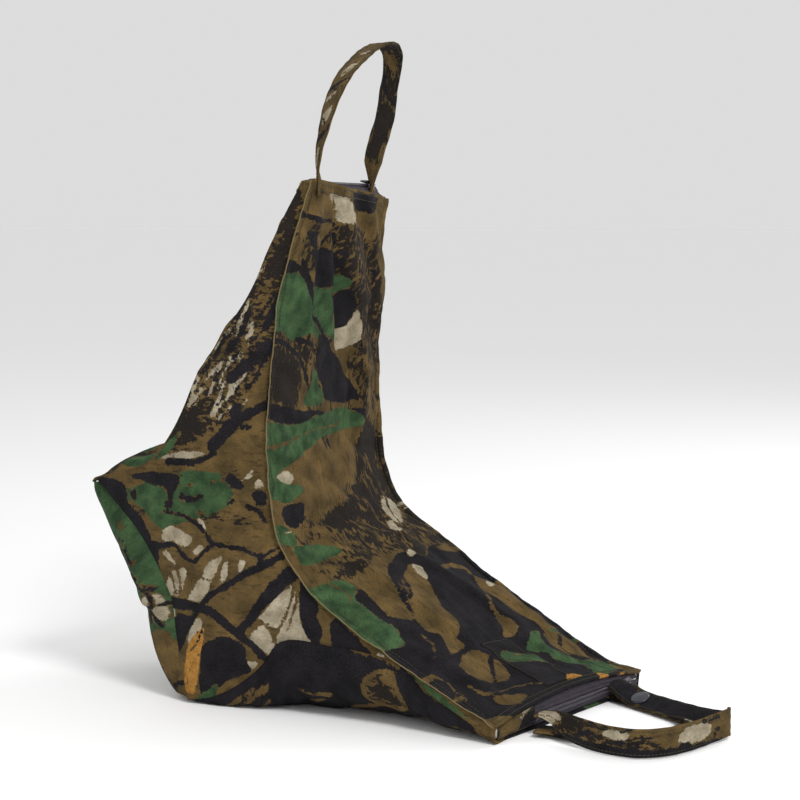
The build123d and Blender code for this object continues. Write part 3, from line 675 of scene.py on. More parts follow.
# Near side panel: x and z.
NEAR_SIDE_PRINT = [
    patch("green", (-200, 148), (-150, 166), (-120, 176), (-84, 176), (-72, 158), (-90, 146), (-112, 140),
          (-140, 128), (-160, 150)),
    *dashes("bark", 31, 12, (-165, -70), (138, 172), 0.1, 9, 3.5),
    patch("black", (-212, 160), (-196, 166), (-174, 163), (-170, 156), (-171, 149), (-163, 143), (-154, 132),
          (-148, 120), (-146, 106), (-149, 98), (-160, 106), (-180, 124), (-205, 146)),
    stroke("black", 8, (-147, 117), (-147, 98), (-141, 84), (-132, 72)),
    patch("tan", (-140, 122), (-137, 131), (-128, 135), (-120, 131), (-109, 127), (-113, 120), (-124, 120)),
    patch("tan", (-105, 142), (-99, 139), (-97, 132), (-103, 134)),
    patch("tan", (-112, 116), (-104, 122), (-99, 120), (-106, 113)),
    patch("tan", (-141, 112), (-134, 115), (-125, 103), (-133, 108)),
    patch("tan", (-133, 99), (-116, 104), (-119, 91), (-125, 78), (-136, 78), (-140, 86)),
    stroke("brown", 3.6, (-140, 106), (-130, 92), (-129, 74)),
    stroke("brown", 3.0, (-126, 104), (-123, 90), (-127, 76)),
    patch("tan", (-118, 77), (-110, 89), (-103, 98), (-94, 111), (-83, 116), (-88, 105), (-94, 93), (-104, 78)),
    stroke("brown", 1.6, (-104, 98), (-98, 96), (-92, 97)),
    patch("tan", (-87, 94), (-83, 110), (-79, 111), (-80, 98)),
    patch("tan", (-70, 114), (-63, 113), (-70, 102)),
    patch("tan", (-113, 64), (-103, 68), (-103, 58), (-110, 50), (-118, 45), (-116, 56)),
    patch("tan", (-66, 64), (-58, 71), (-46, 82), (-36, 93), (-29, 98), (-30, 86), (-36, 74), (-43, 62), (-50, 66),
          (-56, 70)),
    patch("tan", (-63, 57), (-53, 67), (-47, 59), (-42, 48), (-46, 42), (-54, 46), (-61, 52)),
    patch("tan", (-29, 97), (-22, 86), (-17, 72), (-10, 54), (-26, 48), (-46, 50), (-40, 64), (-33, 79)),
    stroke("brown", 3.4, (-27, 99), (-30, 84), (-38, 68), (-46, 54)),
    stroke("brown", 2.6, (-24, 97), (-26, 80), (-34, 62)),
    stroke("brown", 3.6, (-66, 61), (-56, 69), (-46, 64), (-41, 50)),
    patch("tan", (-66, 38), (-56, 38), (-64, 30), (-69, 32)),
    patch("tan", (-140, 72), (-134, 76), (-129, 68), (-134, 58), (-140, 62)),
    patch("tan", (-70, 171), (-58, 181), (-61, 173)),
    patch("tan", (-55, 174), (-51, 167), (-60, 166)),
    patch("tan", (-150, 182), (-120, 190), (-96, 190), (-112, 184)),
    stroke("black", 4.5, (-148, 117), (-138, 118), (-128, 120), (-119, 113), (-110, 109), (-101, 116), (-92, 123)),
    stroke("black", 4, (-92, 123), (-102, 134), (-111, 140), (-122, 143), (-136, 144)),
    stroke("black", 4, (-92, 123), (-80, 122), (-68, 121), (-52, 117), (-45, 121), (-36, 127)),
    stroke("black", 5, (-52, 117), (-54, 110), (-60, 105)),
    stroke("black", 6, (-34, 121), (-46, 112), (-60, 106), (-73, 98), (-88, 89), (-97, 83), (-106, 73), (-113, 64),
           (-120, 52)),
    stroke("black", 9, (-136, 75), (-117, 75), (-104, 74), (-91, 71), (-81, 64), (-71, 58), (-62, 51), (-50, 40)),
    stroke("black", 11, (-24, 110), (-39, 97), (-49, 86), (-60, 72), (-70, 60)),
    patch("black", (-170, 168), (-154, 173), (-141, 172), (-124, 172), (-124, 164), (-128, 157), (-127, 148),
          (-136, 146), (-131, 154), (-136, 161), (-152, 164)),
    patch("black", (-84, 172), (-77, 177), (-65, 168), (-67, 164), (-79, 167)),
    patch("black", (-82, 152), (-74, 160), (-73, 155)),
    stroke("black", 5, (-120, 156), (-110, 155), (-101, 158)),
    patch("black", (-62, 161), (-55, 166), (-48, 163), (-49, 154), (-57, 153)),
    stroke("black", 4, (-64, 152), (-57, 150), (-50, 142)),
    patch("black", (-168, 156), (-163, 160), (-160, 154), (-164, 149)),
    stroke("black", 6, (-133, 181), (-103, 184), (-90, 190)),
    patch("orange", (-118, 43), (-112, 52), (-105, 58), (-100, 60), (-105, 41), (-107, 25), (-113, 6), (-124, 10),
          (-122, 26)),
    stroke("black", 1.8, (-103, 58), (-110, 46), (-116, 40)),
    stroke("brown", 1.8, (-108, 38), (-118, 22), (-120, 12)),
    patch("black", (-104, 46), (-92, 54), (-80, 56), (-64, 48), (-67, 38), (-62, 30), (-84, 22), (-98, 10), (-108, 4),
          (-107, 25)),
    patch("black", (-132, 68), (-112, 68), (-117, 54), (-123, 42), (-130, 34)),
    patch("green", (-116, 0), (-106, 10), (-90, 20), (-96, 6)),
    # Under the saddle seam, towards the lying limb.
    patch("black", (-22, 108), (-6, 84), (0, 66), (-8, 52), (-18, 64), (-22, 84)),
    stroke("brown", 5, (-4, 78), (0, 68), (-4, 58)),
    patch("black", (4, 80), (24, 66), (40, 52), (4, 50)),
    patch("tan", (42, 57), (50, 50), (62, 45), (50, 44), (40, 50)),
    patch("green", (60, 47), (74, 40), (100, 26), (118, 14), (96, 22), (74, 32)),
    # The upright limb is bark.
    patch("bark", (-150, 186), (-110, 196), (-70, 224), (-44, 262), (-30, 330), (-14, 384), (-60, 384), (-110, 300)),
    *dashes("black", 41, 60, (-150, -44), (206, 350), 0.95, 26, 4.5),
    *dashes("tan", 42, 74, (-128, -62), (212, 330), 0.95, 20, 3.2),
    *dashes("brown", 44, 24, (-110, -44), (212, 350), 0.95, 22, 4),
    *dashes("black", 43, 56, (-128, -50), (208, 340), 0.9, 15, 1.6),
    patch("brown", (-72, 214), (-56, 244), (-48, 262), (-48, 236), (-52, 210)),
    stroke("black", 10, (-92, 196), (-66, 218), (-46, 228)),
    stroke("black", 9, (-76, 246), (-58, 260), (-44, 272)),
    patch("green", (-150, 178), (-134, 196), (-122, 206), (-130, 190)),
]


# ---- Materials ----------------------------------------------------------------------------------------------
def rgb(*shown):
    """A colour from its display values, 0 to 255."""
    return tuple(((v / 255 + 0.055) / 1.055) ** 2.4 if v > 10 else v / 255 / 12.92 for v in shown) + (1.0,)


class Graph:
    """A material and short ways to add nodes to it."""

    def __init__(self, name):
        self.material = bpy.data.materials.new(name)
        self.material.use_nodes = True
        self.nodes, self.links = self.material.node_tree.nodes, self.material.node_tree.links
        self.shader = self.nodes["Principled BSDF"]

    def feed(self, socket, value):
        if isinstance(value, bpy.types.NodeSocket):
            self.links.new(value, socket)
        else:
            socket.default_value = value

    def node(self, kind, values=(), **settings):
        made = self.nodes.new("ShaderNode" + kind)
        for key, value in settings.items():
            setattr(made, key, value)
        for key, value in dict(values).items():
            self.feed(made.inputs[key], value)
        return made

    def math(self, operation, a, b=0.0):
        return self.node("Math", {0: a, 1: b}, operation=operation).outputs[0]

    def mix(self, share, a, b, blend="MIX"):
        return self.node("Mix", {0: share, 6: a, 7: b}, data_type="RGBA", blend_type=blend).outputs[2]

    def noise(self, at, scale, detail=2.0, rough=0.5):
        values = {"Vector": at, "Scale": scale, "Detail": detail, "Roughness": rough}
        return self.node("TexNoise", values).outputs["Fac"]

    def spread(self, value, low, high, start=0.0, end=1.0):
        values = {"Value": value, "From Min": low, "From Max": high, "To Min": start, "To Max": end}
        return self.node("MapRange", values).outputs[0]

    def mm(self, vector, x=1.0, y=1.0, z=1.0):
        """Coordinates in millimetres, each with its own stretch."""
        factors = (x / MM, y / MM, z / MM)
        return self.node("VectorMath", {0: vector, 1: factors}, operation="MULTIPLY").outputs[0]

    def bump(self, height, depth_mm, before=None):
        values = {"Strength": 1.0, "Distance": depth_mm * MM, "Height": height}
        if before:
            values["Normal"] = before
        return self.node("Bump", values).outputs[0]

    def finish(self, colour, roughness, normal, **constants):
        self.feed(self.shader.inputs["Base Color"], colour)
        self.feed(self.shader.inputs["Roughness"], roughness)
        self.feed(self.shader.inputs["Normal"], normal)
        for key, value in constants.items():
            self.shader.inputs[key.replace("_", " ")].default_value = value
        return self.material


def camouflage(name, pitch):
    """Washed cotton twill with the print that each point carries. pitch is between ribs of the twill, in mm."""
    g = Graph(name)
    cut = g.node("UVMap", uv_map=UV).outputs["UV"]
    at = g.mm(cut)
    first, second = (
        g.node("SeparateXYZ", {0: g.node("Attribute", attribute_name=layer).outputs["Vector"]}).outputs
        for layer in ("print_a", "print_b")
    )
    wobble = g.math(
        "ADD", g.spread(g.noise(at, 0.45, 4.0, 0.6), 0.25, 0.75, -1.1, 1.1),
        g.spread(g.noise(g.mm(cut, 0.13, 0.09), 1.0, 2.0), 0.3, 0.7, -0.8, 0.8),
    )
    ragged = g.spread(g.noise(g.mm(cut, 0.16, 0.34), 1.0, 4.0, 0.6), 0.3, 0.7, -6.0, 6.5)

    def mask(field, edge, blur=0.25):
        return g.spread(g.math("ADD", field, edge), -blur, blur, 1.0, 0.0)

    def cloudy(scale, a, b):
        return g.mix(g.spread(g.noise(at, scale, 3.0), 0.35, 0.65), rgb(*a), rgb(*b))

    colour = cloudy(0.055, (76, 62, 36), (106, 85, 50))
    streaks = g.spread(g.noise(g.mm(cut, 0.08, 0.3), 1.0, 3.0, 0.6), 0.55, 0.62, 0.0, 0.5)
    colour = g.mix(streaks, colour, rgb(48, 40, 28))
    colour = g.mix(g.math("MULTIPLY", mask(second[0], ragged, 0.5), 0.94), colour, rgb(27, 24, 25))
    colour = g.mix(mask(first[0], wobble), colour, cloudy(0.1, (140, 130, 108), (176, 165, 142)))
    colour = g.mix(mask(first[1], wobble), colour, cloudy(0.08, (38, 60, 38), (66, 92, 58)))
    colour = g.mix(mask(second[1], wobble), colour, cloudy(0.2, (150, 104, 44), (176, 128, 62)))
    colour = g.mix(mask(first[2], wobble), colour, cloudy(0.07, (19, 18, 22), (30, 28, 33)))
    # Pale specks, where the ribs have worn.
    worn = g.spread(g.noise(at, 1.3, 3.0, 0.7), 0.52, 0.8, 0.0, 0.2)
    colour = g.mix(worn, colour, rgb(140, 132, 112))
    ribs = g.node(
        "TexWave", {"Vector": at, "Scale": 0.444 / pitch, "Distortion": 0.6, "Detail": 1.0, "Detail Scale": 0.5},
        bands_direction="DIAGONAL",
    ).outputs["Fac"]
    specks = g.spread(g.noise(at, 0.7, 3.0, 0.7), 0.3, 0.7, 0.72, 1.24)
    grain = g.math("MULTIPLY", g.spread(ribs, 0, 1, 0.8, 1.1), specks)
    shade = g.math("MULTIPLY", grain, g.spread(g.noise(at, 0.03, 2.0), 0.3, 0.7, 0.86, 1.12))
    values = {0: colour, "Scale": shade}
    colour = g.node("VectorMath", values, operation="SCALE").outputs[0]
    slack = g.bump(g.noise(g.mm(cut, 0.014, 0.045), 1.0, 2.0), 7.0)
    crumple = g.bump(g.noise(at, 0.16, 4.0, 0.55), 1.5, slack)
    normal = g.bump(g.math("ADD", ribs, g.noise(at, 0.9, 3.0, 0.7)), 0.22, crumple)
    roughness = g.spread(g.noise(at, 0.4, 2.0), 0.3, 0.7, 0.82, 0.95)
    return g.finish(colour, roughness, normal, Specular_IOR_Level=0.1)


def plain_finish(name, light, dark, scale, depth, rough, stretch=(1.0, 1.0, 1.0), wave=0.0, **constants):
    """A one-colour finish with mottling and fine relief. wave adds ribs of that pitch, in mm."""
    g = Graph(name)
    place = g.node("TexCoord").outputs["Object"]
    at = g.mm(place, *stretch)
    grain = g.noise(at, scale, 3.0, 0.6)
    colour = g.mix(g.spread(grain, 0.3, 0.7), rgb(*dark), rgb(*light))
    height = grain
    if wave:
        ribs = g.node("TexWave", {"Vector": g.mm(place), "Scale": 0.314 / wave}, bands_direction="Y").outputs["Fac"]
        height = g.math("ADD", height, ribs)
        colour = g.mix(g.math("MULTIPLY", ribs, 0.35), colour, rgb(*light))
    roughness = g.spread(g.noise(at, scale * 0.5, 3.0), 0.3, 0.7, rough - 0.08, rough + 0.1)
    return g.finish(colour, roughness, g.bump(height, depth), **constants)


def bead_finish():
    g = Graph("bead_filling")
    at = g.mm(g.node("TexCoord").outputs["Object"])
    cells = g.node("TexVoronoi", {"Vector": at, "Scale": 0.3})
    # Each bead is pale in its middle and darker towards its rim: painted shade between the beads.
    colour = g.mix(cells.outputs["Distance"], rgb(240, 238, 230), rgb(170, 168, 160))
    height = g.math("SUBTRACT", 1.0, cells.outputs["Distance"])
    roughness = g.spread(g.noise(at, 0.5), 0.3, 0.7, 0.5, 0.7)
    return g.finish(colour, roughness, g.bump(height, 1.2), Specular_IOR_Level=0.3)


CANVAS = camouflage("camo_canvas", 0.95)
STRAP_CLOTH = camouflage("camo_strap_cloth", 0.8)
# Pale mottled colour for the tube along the seam fin's edge: a painted highlight, where that edge catches the light.
FIN_EDGE_HIGHLIGHT = plain_finish("painted_edge_highlight", (146, 130, 92), (64, 54, 34), 4.0, 0.3, 0.9, Specular_IOR_Level=0.1)
THREAD = plain_finish("thread", (74, 72, 52), (40, 40, 32), 1.4, 0.1, 0.75, Specular_IOR_Level=0.25)
TAPE = plain_finish("zip_tape_cloth", (60, 55, 62), (38, 35, 41), 1.2, 0.12, 0.82, wave=1.1, Specular_IOR_Level=0.25)
COIL = plain_finish("zip_coil_nylon", (70, 65, 75), (34, 31, 37), 0.8, 0.05, 0.45, Specular_IOR_Level=0.45)
PAINTED = plain_finish("zip_metal_paint", (112, 106, 116), (66, 62, 70), 0.5, 0.05, 0.38, Metallic=0.7)
CAP_ENAMEL = plain_finish("cap_enamel", (34, 36, 47), (24, 25, 33), 0.35, 0.06, 0.4, Coat_Weight=0.3)
NICKEL = plain_finish("stud_nickel", (176, 172, 164), (120, 117, 112), 0.7, 0.05, 0.32, Metallic=1.0)
BEADS = bead_finish()


# ---- Mesh helpers -------------------------------------------------------------------------------------------
class Build:
    """Collects points, faces and flat coordinates for one piece, in millimetres."""

    def __init__(self):
        self.points, self.faces, self.flat, self.slots = [], [], [], []

    def add(self, points, faces, flat=None, slot=0):
        start = len(self.points)
        self.points += [tuple(p) for p in points]
        self.flat += [tuple(p) for p in (flat if flat is not None else np.asarray(points)[:, :2])]
        self.faces += [[start + i for i in face] for face in faces]
        self.slots += [slot] * len(faces)

    def sweep(self, sections, flat=None, slot=0):
        """Joins closed sections, each an array of points in the same order, into a closed form."""
        sections = np.asarray(sections)
        rows, around = sections.shape[:2]
        faces = [
            (r * around + c, r * around + (c + 1) % around, (r + 1) * around + (c + 1) % around, (r + 1) * around + c)
            for r in range(rows - 1)
            for c in range(around)
        ]
        faces += [list(range(around))[::-1], list(range((rows - 1) * around, rows * around))]
        self.add(sections.reshape(-1, 3), faces, None if flat is None else np.asarray(flat).reshape(-1, 2), slot)

    def tube(self, path, radius, sides=8, slot=0):
        """A round tube. radius is one number or one for each point of the path."""
        path = np.asarray(path, float)
        along = np.gradient(path, axis=0)
        along /= np.linalg.norm(along, axis=1, keepdims=True) + 1e-12
        a = np.cross(along, (0.13, 0.21, 0.97))
        a /= np.linalg.norm(a, axis=1, keepdims=True) + 1e-12
        b = np.cross(along, a)
        turn = np.linspace(0, 2 * math.pi, sides, endpoint=False)
        ring = a[:, None] * np.cos(turn)[None, :, None] + b[:, None] * np.sin(turn)[None, :, None]
        size = np.broadcast_to(radius, len(path))
        self.sweep(path[:, None] + ring * size[:, None, None], slot=slot)

    def stitches(self, path, normals, pitch=2.6, length=1.9, radius=0.3, slot=1):
        """A row of stitches on a path, each a short thread that dips at both ends."""
        path, normals = np.asarray(path, float), np.asarray(normals, float)
        run = np.concatenate([[0], np.cumsum(np.linalg.norm(np.diff(path, axis=0), axis=1))])
        for k in range(int(run[-1] / pitch)):
            at = pitch * (k + 0.5) + np.array([-0.5, -0.38, 0.38, 0.5]) * length
            spots = np.stack([np.interp(at, run, path[:, i]) for i in range(3)], axis=1)
            up = np.array([np.interp(at.mean(), run, normals[:, i]) for i in range(3)])
            up /= np.linalg.norm(up) + 1e-12
            spots += up * np.array([-0.35, 0.12, 0.12, -0.35])[:, None]
            self.tube(spots, [radius * 0.7, radius, radius, radius * 0.7], 5, slot)

    def piece(self, name, *materials, motifs=None):
        mesh = bpy.data.meshes.new(name)
        mesh.from_pydata([(x * MM, y * MM, max(z, 0.1) * MM) for x, y, z in self.points], [], self.faces)
        layer = mesh.uv_layers.new(name=UV)
        corners = np.zeros(len(mesh.loops), int)
        mesh.loops.foreach_get("vertex_index", corners)
        layer.data.foreach_set("uv", (np.array(self.flat)[corners] * MM).astype(np.float32).ravel())
        for material in materials:
            mesh.materials.append(material)
        mesh.polygons.foreach_set("material_index", self.slots)
        mesh.polygons.foreach_set("use_smooth", [True] * len(mesh.polygons))
        bm = bmesh.new()
        bm.from_mesh(mesh)
        bmesh.ops.recalc_face_normals(bm, faces=bm.faces)
        bm.to_mesh(mesh)
        bm.free()
        obj = bpy.data.objects.new(name, mesh)
        bpy.context.scene.collection.objects.link(obj)
        if motifs is not None:
            put_print(obj, motifs)
        return obj


def settle(obj, body="root", *nodes):
    """Gives a finished piece its body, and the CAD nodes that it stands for."""
    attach(obj, body)
    if nodes:
        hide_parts(*nodes)
    return obj


class Cloth:
    """Finds places on a settled panel from its flat coordinates."""

    def __init__(self, obj):
        mesh = obj.data
        self.points = np.array([v.co for v in mesh.vertices]) / MM
        self.normals = np.array([v.normal for v in mesh.vertices])
        corners = np.zeros(len(mesh.loops), int)
        mesh.loops.foreach_get("vertex_index", corners)
        uv = np.zeros(len(mesh.loops) * 2)
        mesh.uv_layers[UV].data.foreach_get("uv", uv)
        self.flat = np.zeros((len(self.points), 2))
        self.flat[corners] = uv.reshape(-1, 2) / MM
        mesh.calc_loop_triangles()
        self.triangles = [tuple(t.vertices) for t in mesh.loop_triangles]
        self.tree = BVHTree.FromPolygons([(a, b, 0) for a, b in self.flat], self.triangles)
        self.end = self.flat[:, 0].max()

    def at(self, s, y, lift=0.0):
        """(place, normal) at flat coordinates, and lifted off the cloth. Beyond an edge, it carries on straight."""
        spot, _, index, _ = self.tree.find_nearest(Vector((s, y, 0)))
        ids = list(self.triangles[index])
        (ax, ay), (bx, by), (cx, cy) = self.flat[ids]
        base = (bx - ax) * (cy - ay) - (cx - ax) * (by - ay)
        v = ((s - ax) * (cy - ay) - (cx - ax) * (y - ay)) / base
        w = ((bx - ax) * (y - ay) - (s - ax) * (by - ay)) / base
        weights = np.array([1 - v - w, v, w])
        normal = np.clip(weights, 0, 1) @ self.normals[ids]
        normal /= np.linalg.norm(normal)
        return weights @ self.points[ids] + normal * lift, normal

    def line(self, flat_points, lift=0.0):
        made = [self.at(s, y, lift) for s, y in flat_points]
        return np.array([m[0] for m in made]), np.array([m[1] for m in made])


def refine(bag):
    """One subdivision, with the seams kept fairly sharp."""
    mesh = bag.data
    crease = mesh.attributes.new("crease_edge", "FLOAT", "EDGE")
    sides = {}
    for face in mesh.polygons:
        for key in face.edge_keys:
            sides.setdefault(key, set()).add(face.material_index)
    for edge in mesh.edges:
        crease.data[edge.index].value = 0.75 if len(sides.get(edge.key, ())) != 1 else 0.0
    finer = bag.modifiers.new("finer", "SUBSURF")
    finer.levels = finer.render_levels = 1
    finer.uv_smooth = "NONE"
    made = bpy.data.meshes.new_from_object(bag.evaluated_get(bpy.context.evaluated_depsgraph_get()))
    bag.modifiers.clear()
    bag.data = made


def split_panels(bag):
    """One object for each panel."""
    panels = {}
    for index, name in enumerate(PANEL_NAMES):
        bm = bmesh.new()
        bm.from_mesh(bag.data)
        bmesh.ops.delete(bm, geom=[f for f in bm.faces if f.material_index != index], context="FACES")
        for face in bm.faces:
            face.material_index = 0
        mesh = bpy.data.meshes.new(name)
        bm.to_mesh(mesh)
        bm.free()
        mesh.materials.clear()
        mesh.materials.append(CANVAS)
        if "crease_edge" in mesh.attributes:
            mesh.attributes.remove(mesh.attributes["crease_edge"])
        panel = bpy.data.objects.new(name + "_cloth", mesh)
        bpy.context.scene.collection.objects.link(panel)
        panels[name] = panel
    return panels


def thicken(panel):
    """Gives a panel the thickness of its cloth, on the inside."""
    thick = panel.modifiers.new("thick", "SOLIDIFY")
    thick.thickness, thick.offset, thick.use_rim = 0.9 * MM, -1.0, True
    made = bpy.data.meshes.new_from_object(panel.evaluated_get(bpy.context.evaluated_depsgraph_get()))
    panel.modifiers.clear()
    panel.data = made


# ---- Hems and seams -----------------------------------------------------------------------------------------
def wave(x, seed, reach=1.0):
    """A smooth irregular wobble."""
    long, short = 0.5 * np.sin(x * 0.11 + seed), 0.3 * np.sin(x * 0.23 + seed * 2.3)
    return reach * (long + short + 0.2 * np.sin(x * 0.47 - seed))


HEM = 8.0


def hem(name, node, cloth, edge, inward, seed, motifs):
    """The folded edge of a panel at a mouth: a doubled band with two rows of stitching. edge is its s, and inward is
    +1 where s grows away from the mouth."""
    made = Build()
    profile = [(HEM, -0.5), (HEM, 0.35), (HEM - 0.6, 0.75), (5.5, 0.6), (3.0, 0.75), (0.8, 0.9), (-0.3, 0.6),
               (-0.6, 0.0), (-0.3, -1.0), (0.8, -1.6), (HEM - 1.0, -1.5), (HEM, -1.0)]
    across = np.linspace(-99.2, 99.2, 110)
    sections, flats = [], []
    for y in across:
        ring, flat = [], []
        for k, (run, lift) in enumerate(profile):
            s = edge + inward * (run + (wave(y, seed, 0.45) if run > 5 else 0))
            lift += wave(y * 2.1, seed + 3, 0.14) if lift > 0.9 else 0
            ring.append(cloth.at(s, y, lift)[0])
            flat.append((s + k * 0.01, y))
        sections.append(ring)
        flats.append(flat)
    made.sweep(sections, flats)
    for run in (2.0, HEM - 1.7):
        path, normals = cloth.line([(edge + inward * (run + wave(y, seed + 1, 0.25)), y) for y in across], 0.75)
        made.stitches(path, normals)
    return settle(made.piece(name, CANVAS, THREAD, motifs=motifs), "root", node)


def seam_fin(name, node, cloth, side, seed, motifs):
    """The saddle's long seam, turned to the outside as a flat ridge and stitched along its foot."""
    made = Build()
    sign = -1 if side == "near" else 1
    length = cloth.end
    sections, flats, tips = [], [], []
    for s in np.linspace(0.5, length - 0.5, 230):
        place, _ = cloth.at(s, sign * HALF_WIDTH)
        inner, normal = cloth.at(s, sign * (HALF_WIDTH - 5.0))
        out = place - inner
        out[0] *= 0.4
        out += np.array([0, sign * 2.0, 0]) + normal * 1.6
        out /= np.linalg.norm(out)
        ahead = cloth.at(s + 2, sign * HALF_WIDTH)[0] - place
        thick = np.cross(ahead, out)
        thick /= np.linalg.norm(thick)
        reach = 3.6 + wave(s, seed, 0.7) + 1.2 * math.exp(-s / 9)
        lean = wave(s * 1.3, seed + 2, 0.55)
        half = 0.95 + wave(s, seed + 5, 0.15)
        ring = [
            place + out * u + thick * (v * half + lean * max(u, 0) / 4)
            for u, v in ((-1.6, -1), (reach * 0.5, -1.0), (reach * 0.85, -0.95), (reach, -0.4), (reach, 0.4),
                         (reach * 0.85, 0.95), (reach * 0.5, 1.0), (-1.6, 1))
        ]
        sections.append(ring)
        flats.append([(s, sign * (HALF_WIDTH + 0.4 * k)) for k in range(8)])
        tips.append(place + out * (reach - 0.15) + thick * lean * reach / 4)
    made.sweep(sections, flats)
    # A pale tube along the fin's edge: a painted highlight, where the edge catches the light.
    worn = Build()
    worn.tube(np.array(tips), 0.5, 6)
    settle(worn.piece(f"{name}_painted_edge_highlight", FIN_EDGE_HIGHLIGHT), "root")
    foot = [(s, sign * (HALF_WIDTH - 3.4 + wave(s, seed, 0.2))) for s in np.arange(8, length - 8, 2.0)]
    path, normals = cloth.line(foot, 0.15)
    made.stitches(path, normals, pitch=2.8)
    return settle(made.piece(name, CANVAS, THREAD, motifs=motifs), "root", node)


# ---- Mouths: zips and end tabs ------------------------------------------------------------------------------
# Each mouth's plane, as its origin, its directions along the zip and out of the bag, and which end is far.
LOWER_MOUTH = {
    "origin": (147.5, 0, 9.5), "along": (29, 200, 0), "out": (200, -29, 0), "far": 1, "other": "belly",
    "other_end": "start", "tab": (-97.0, -51.0), "bulge": 1.2,
}
UPPER_MOUTH = {
    "origin": (-41, 0, 385), "along": (54, -200, 0), "out": (0, 0, 1), "far": -1, "other": "back",
    "other_end": "end", "tab": (51.0, 97.0), "bulge": 0.8,
}
ZIP_NEAR, ZIP_FAR = 50.0, 82.0
COIL_OFFSET = 1.25  # from the middle of the zip to the middle of each coil


def mouth_frame(mouth):
    along, out = (Vector(mouth[k]).normalized() for k in ("along", "out"))
    return np.array(mouth["origin"]), np.array(along), np.array(out), np.array(out.cross(along))


def zip_parts(limb, mouth, saddle, other):
    origin, along, out, up = mouth_frame(mouth)
    towards = up if np.dot(up, saddle_side(limb)) > 0 else -up
    edges = {
        "saddle": lambda y: saddle.at(1.5 if limb == "upper" else saddle.end - 1.5, y, -1.9)[0],
        mouth["other"]: lambda y: other.at(
            1.5 if mouth["other_end"] == "start" else other.end - 1.5, y, -1.9)[0],
    }

    def middle(t):
        calm = 1 - (t / 98.0) ** 2
        return origin + along * t + out * (0.2 * calm)

    for label, sign in (("saddle", 1), (mouth["other"], -1)):
        tape, coil = Build(), Build()
        stations = np.linspace(-96.0, 96.0, 130)
        sections, flats = [], []
        for t in stations:
            y = float(np.clip((origin + along * t)[1], -99, 99))
            inner = middle(t) + towards * sign * 0.6
            outer = edges[label](y)
            share = np.linspace(0, 1, 25)
            gap = np.linalg.norm(outer - inner)
            curve = [
                inner * (1 - u) + outer * u + out * (mouth["bulge"] * math.sin(math.pi * u) * min(1, gap / 6)
                + 0.25 * math.sin(t * 0.35 + u * 4) + 0.4 * math.cos(6 * math.pi * u) * math.sin(math.pi * u))
                for u in share
            ]
            under = [p - out * 0.6 for p in curve[::-1]]
            sections.append(curve + under)
            flats.append([(t, sign * 10 * u) for u in list(share) + list(share[::-1])])
        tape.sweep(sections, flats)
        settle(tape.piece(f"{limb}_tape_{label}", TAPE), "root", f"{limb}_zip_tape_{label}")
        steps = np.arange(-ZIP_NEAR, ZIP_FAR, 0.4)
        path = [middle(mouth["far"] * t) + towards * sign * COIL_OFFSET + out * 0.25 for t in steps]
        coil.tube(path, 1.2 + 0.16 * np.cos(2 * math.pi * steps / 1.6 + (math.pi if sign > 0 else 0)), 8)
        settle(coil.piece(f"{limb}_coil_{label}", COIL), "root", f"{limb}_zip_coil_{label}")

    tab = Build()
    sections, flats = [], []
    for t in np.linspace(*mouth["tab"], 26):
        y = float(np.clip((origin + along * t)[1], -99, 99))
        a, b = edges["saddle"](y), edges[mouth["other"]](y)
        share = np.linspace(0, 1, 9)
        top = [
            a * (1 - u) + b * u
            + out * (0.9 + (mouth["bulge"] + 1.6) * math.sin(math.pi * u) ** 0.7 + 0.3 * math.sin(t * 0.3 + 3 * u))
            for u in share
        ]
        sections.append(top + [p - out * 1.1 for p in top[::-1]])
        flats.append([(t, 18 * u) for u in list(share) + list(share[::-1])])
    tab.sweep(sections, flats)
    rows = np.array(sections)
    for column in (1, 7):
        tab.stitches(rows[:, column] + out * 0.1, np.tile(out, (len(rows), 1)))
    settle(
        tab.piece(f"{limb}_end_tab", CANVAS, THREAD, motifs=scattered_print(9, (-100, 100), (-5, 25))),
        "root", f"{limb}_zip_end_tab",
    )


def saddle_side(limb):
    """The direction from a zip to the saddle's hem."""
    return np.array((0, 0, 1.0)) if limb == "lower" else np.array((0.965, 0.261, 0))


# ---- Straps -------------------------------------------------------------------------------------------------
OTHER_FACE = 40  # where the print of a strap's other face starts, across it


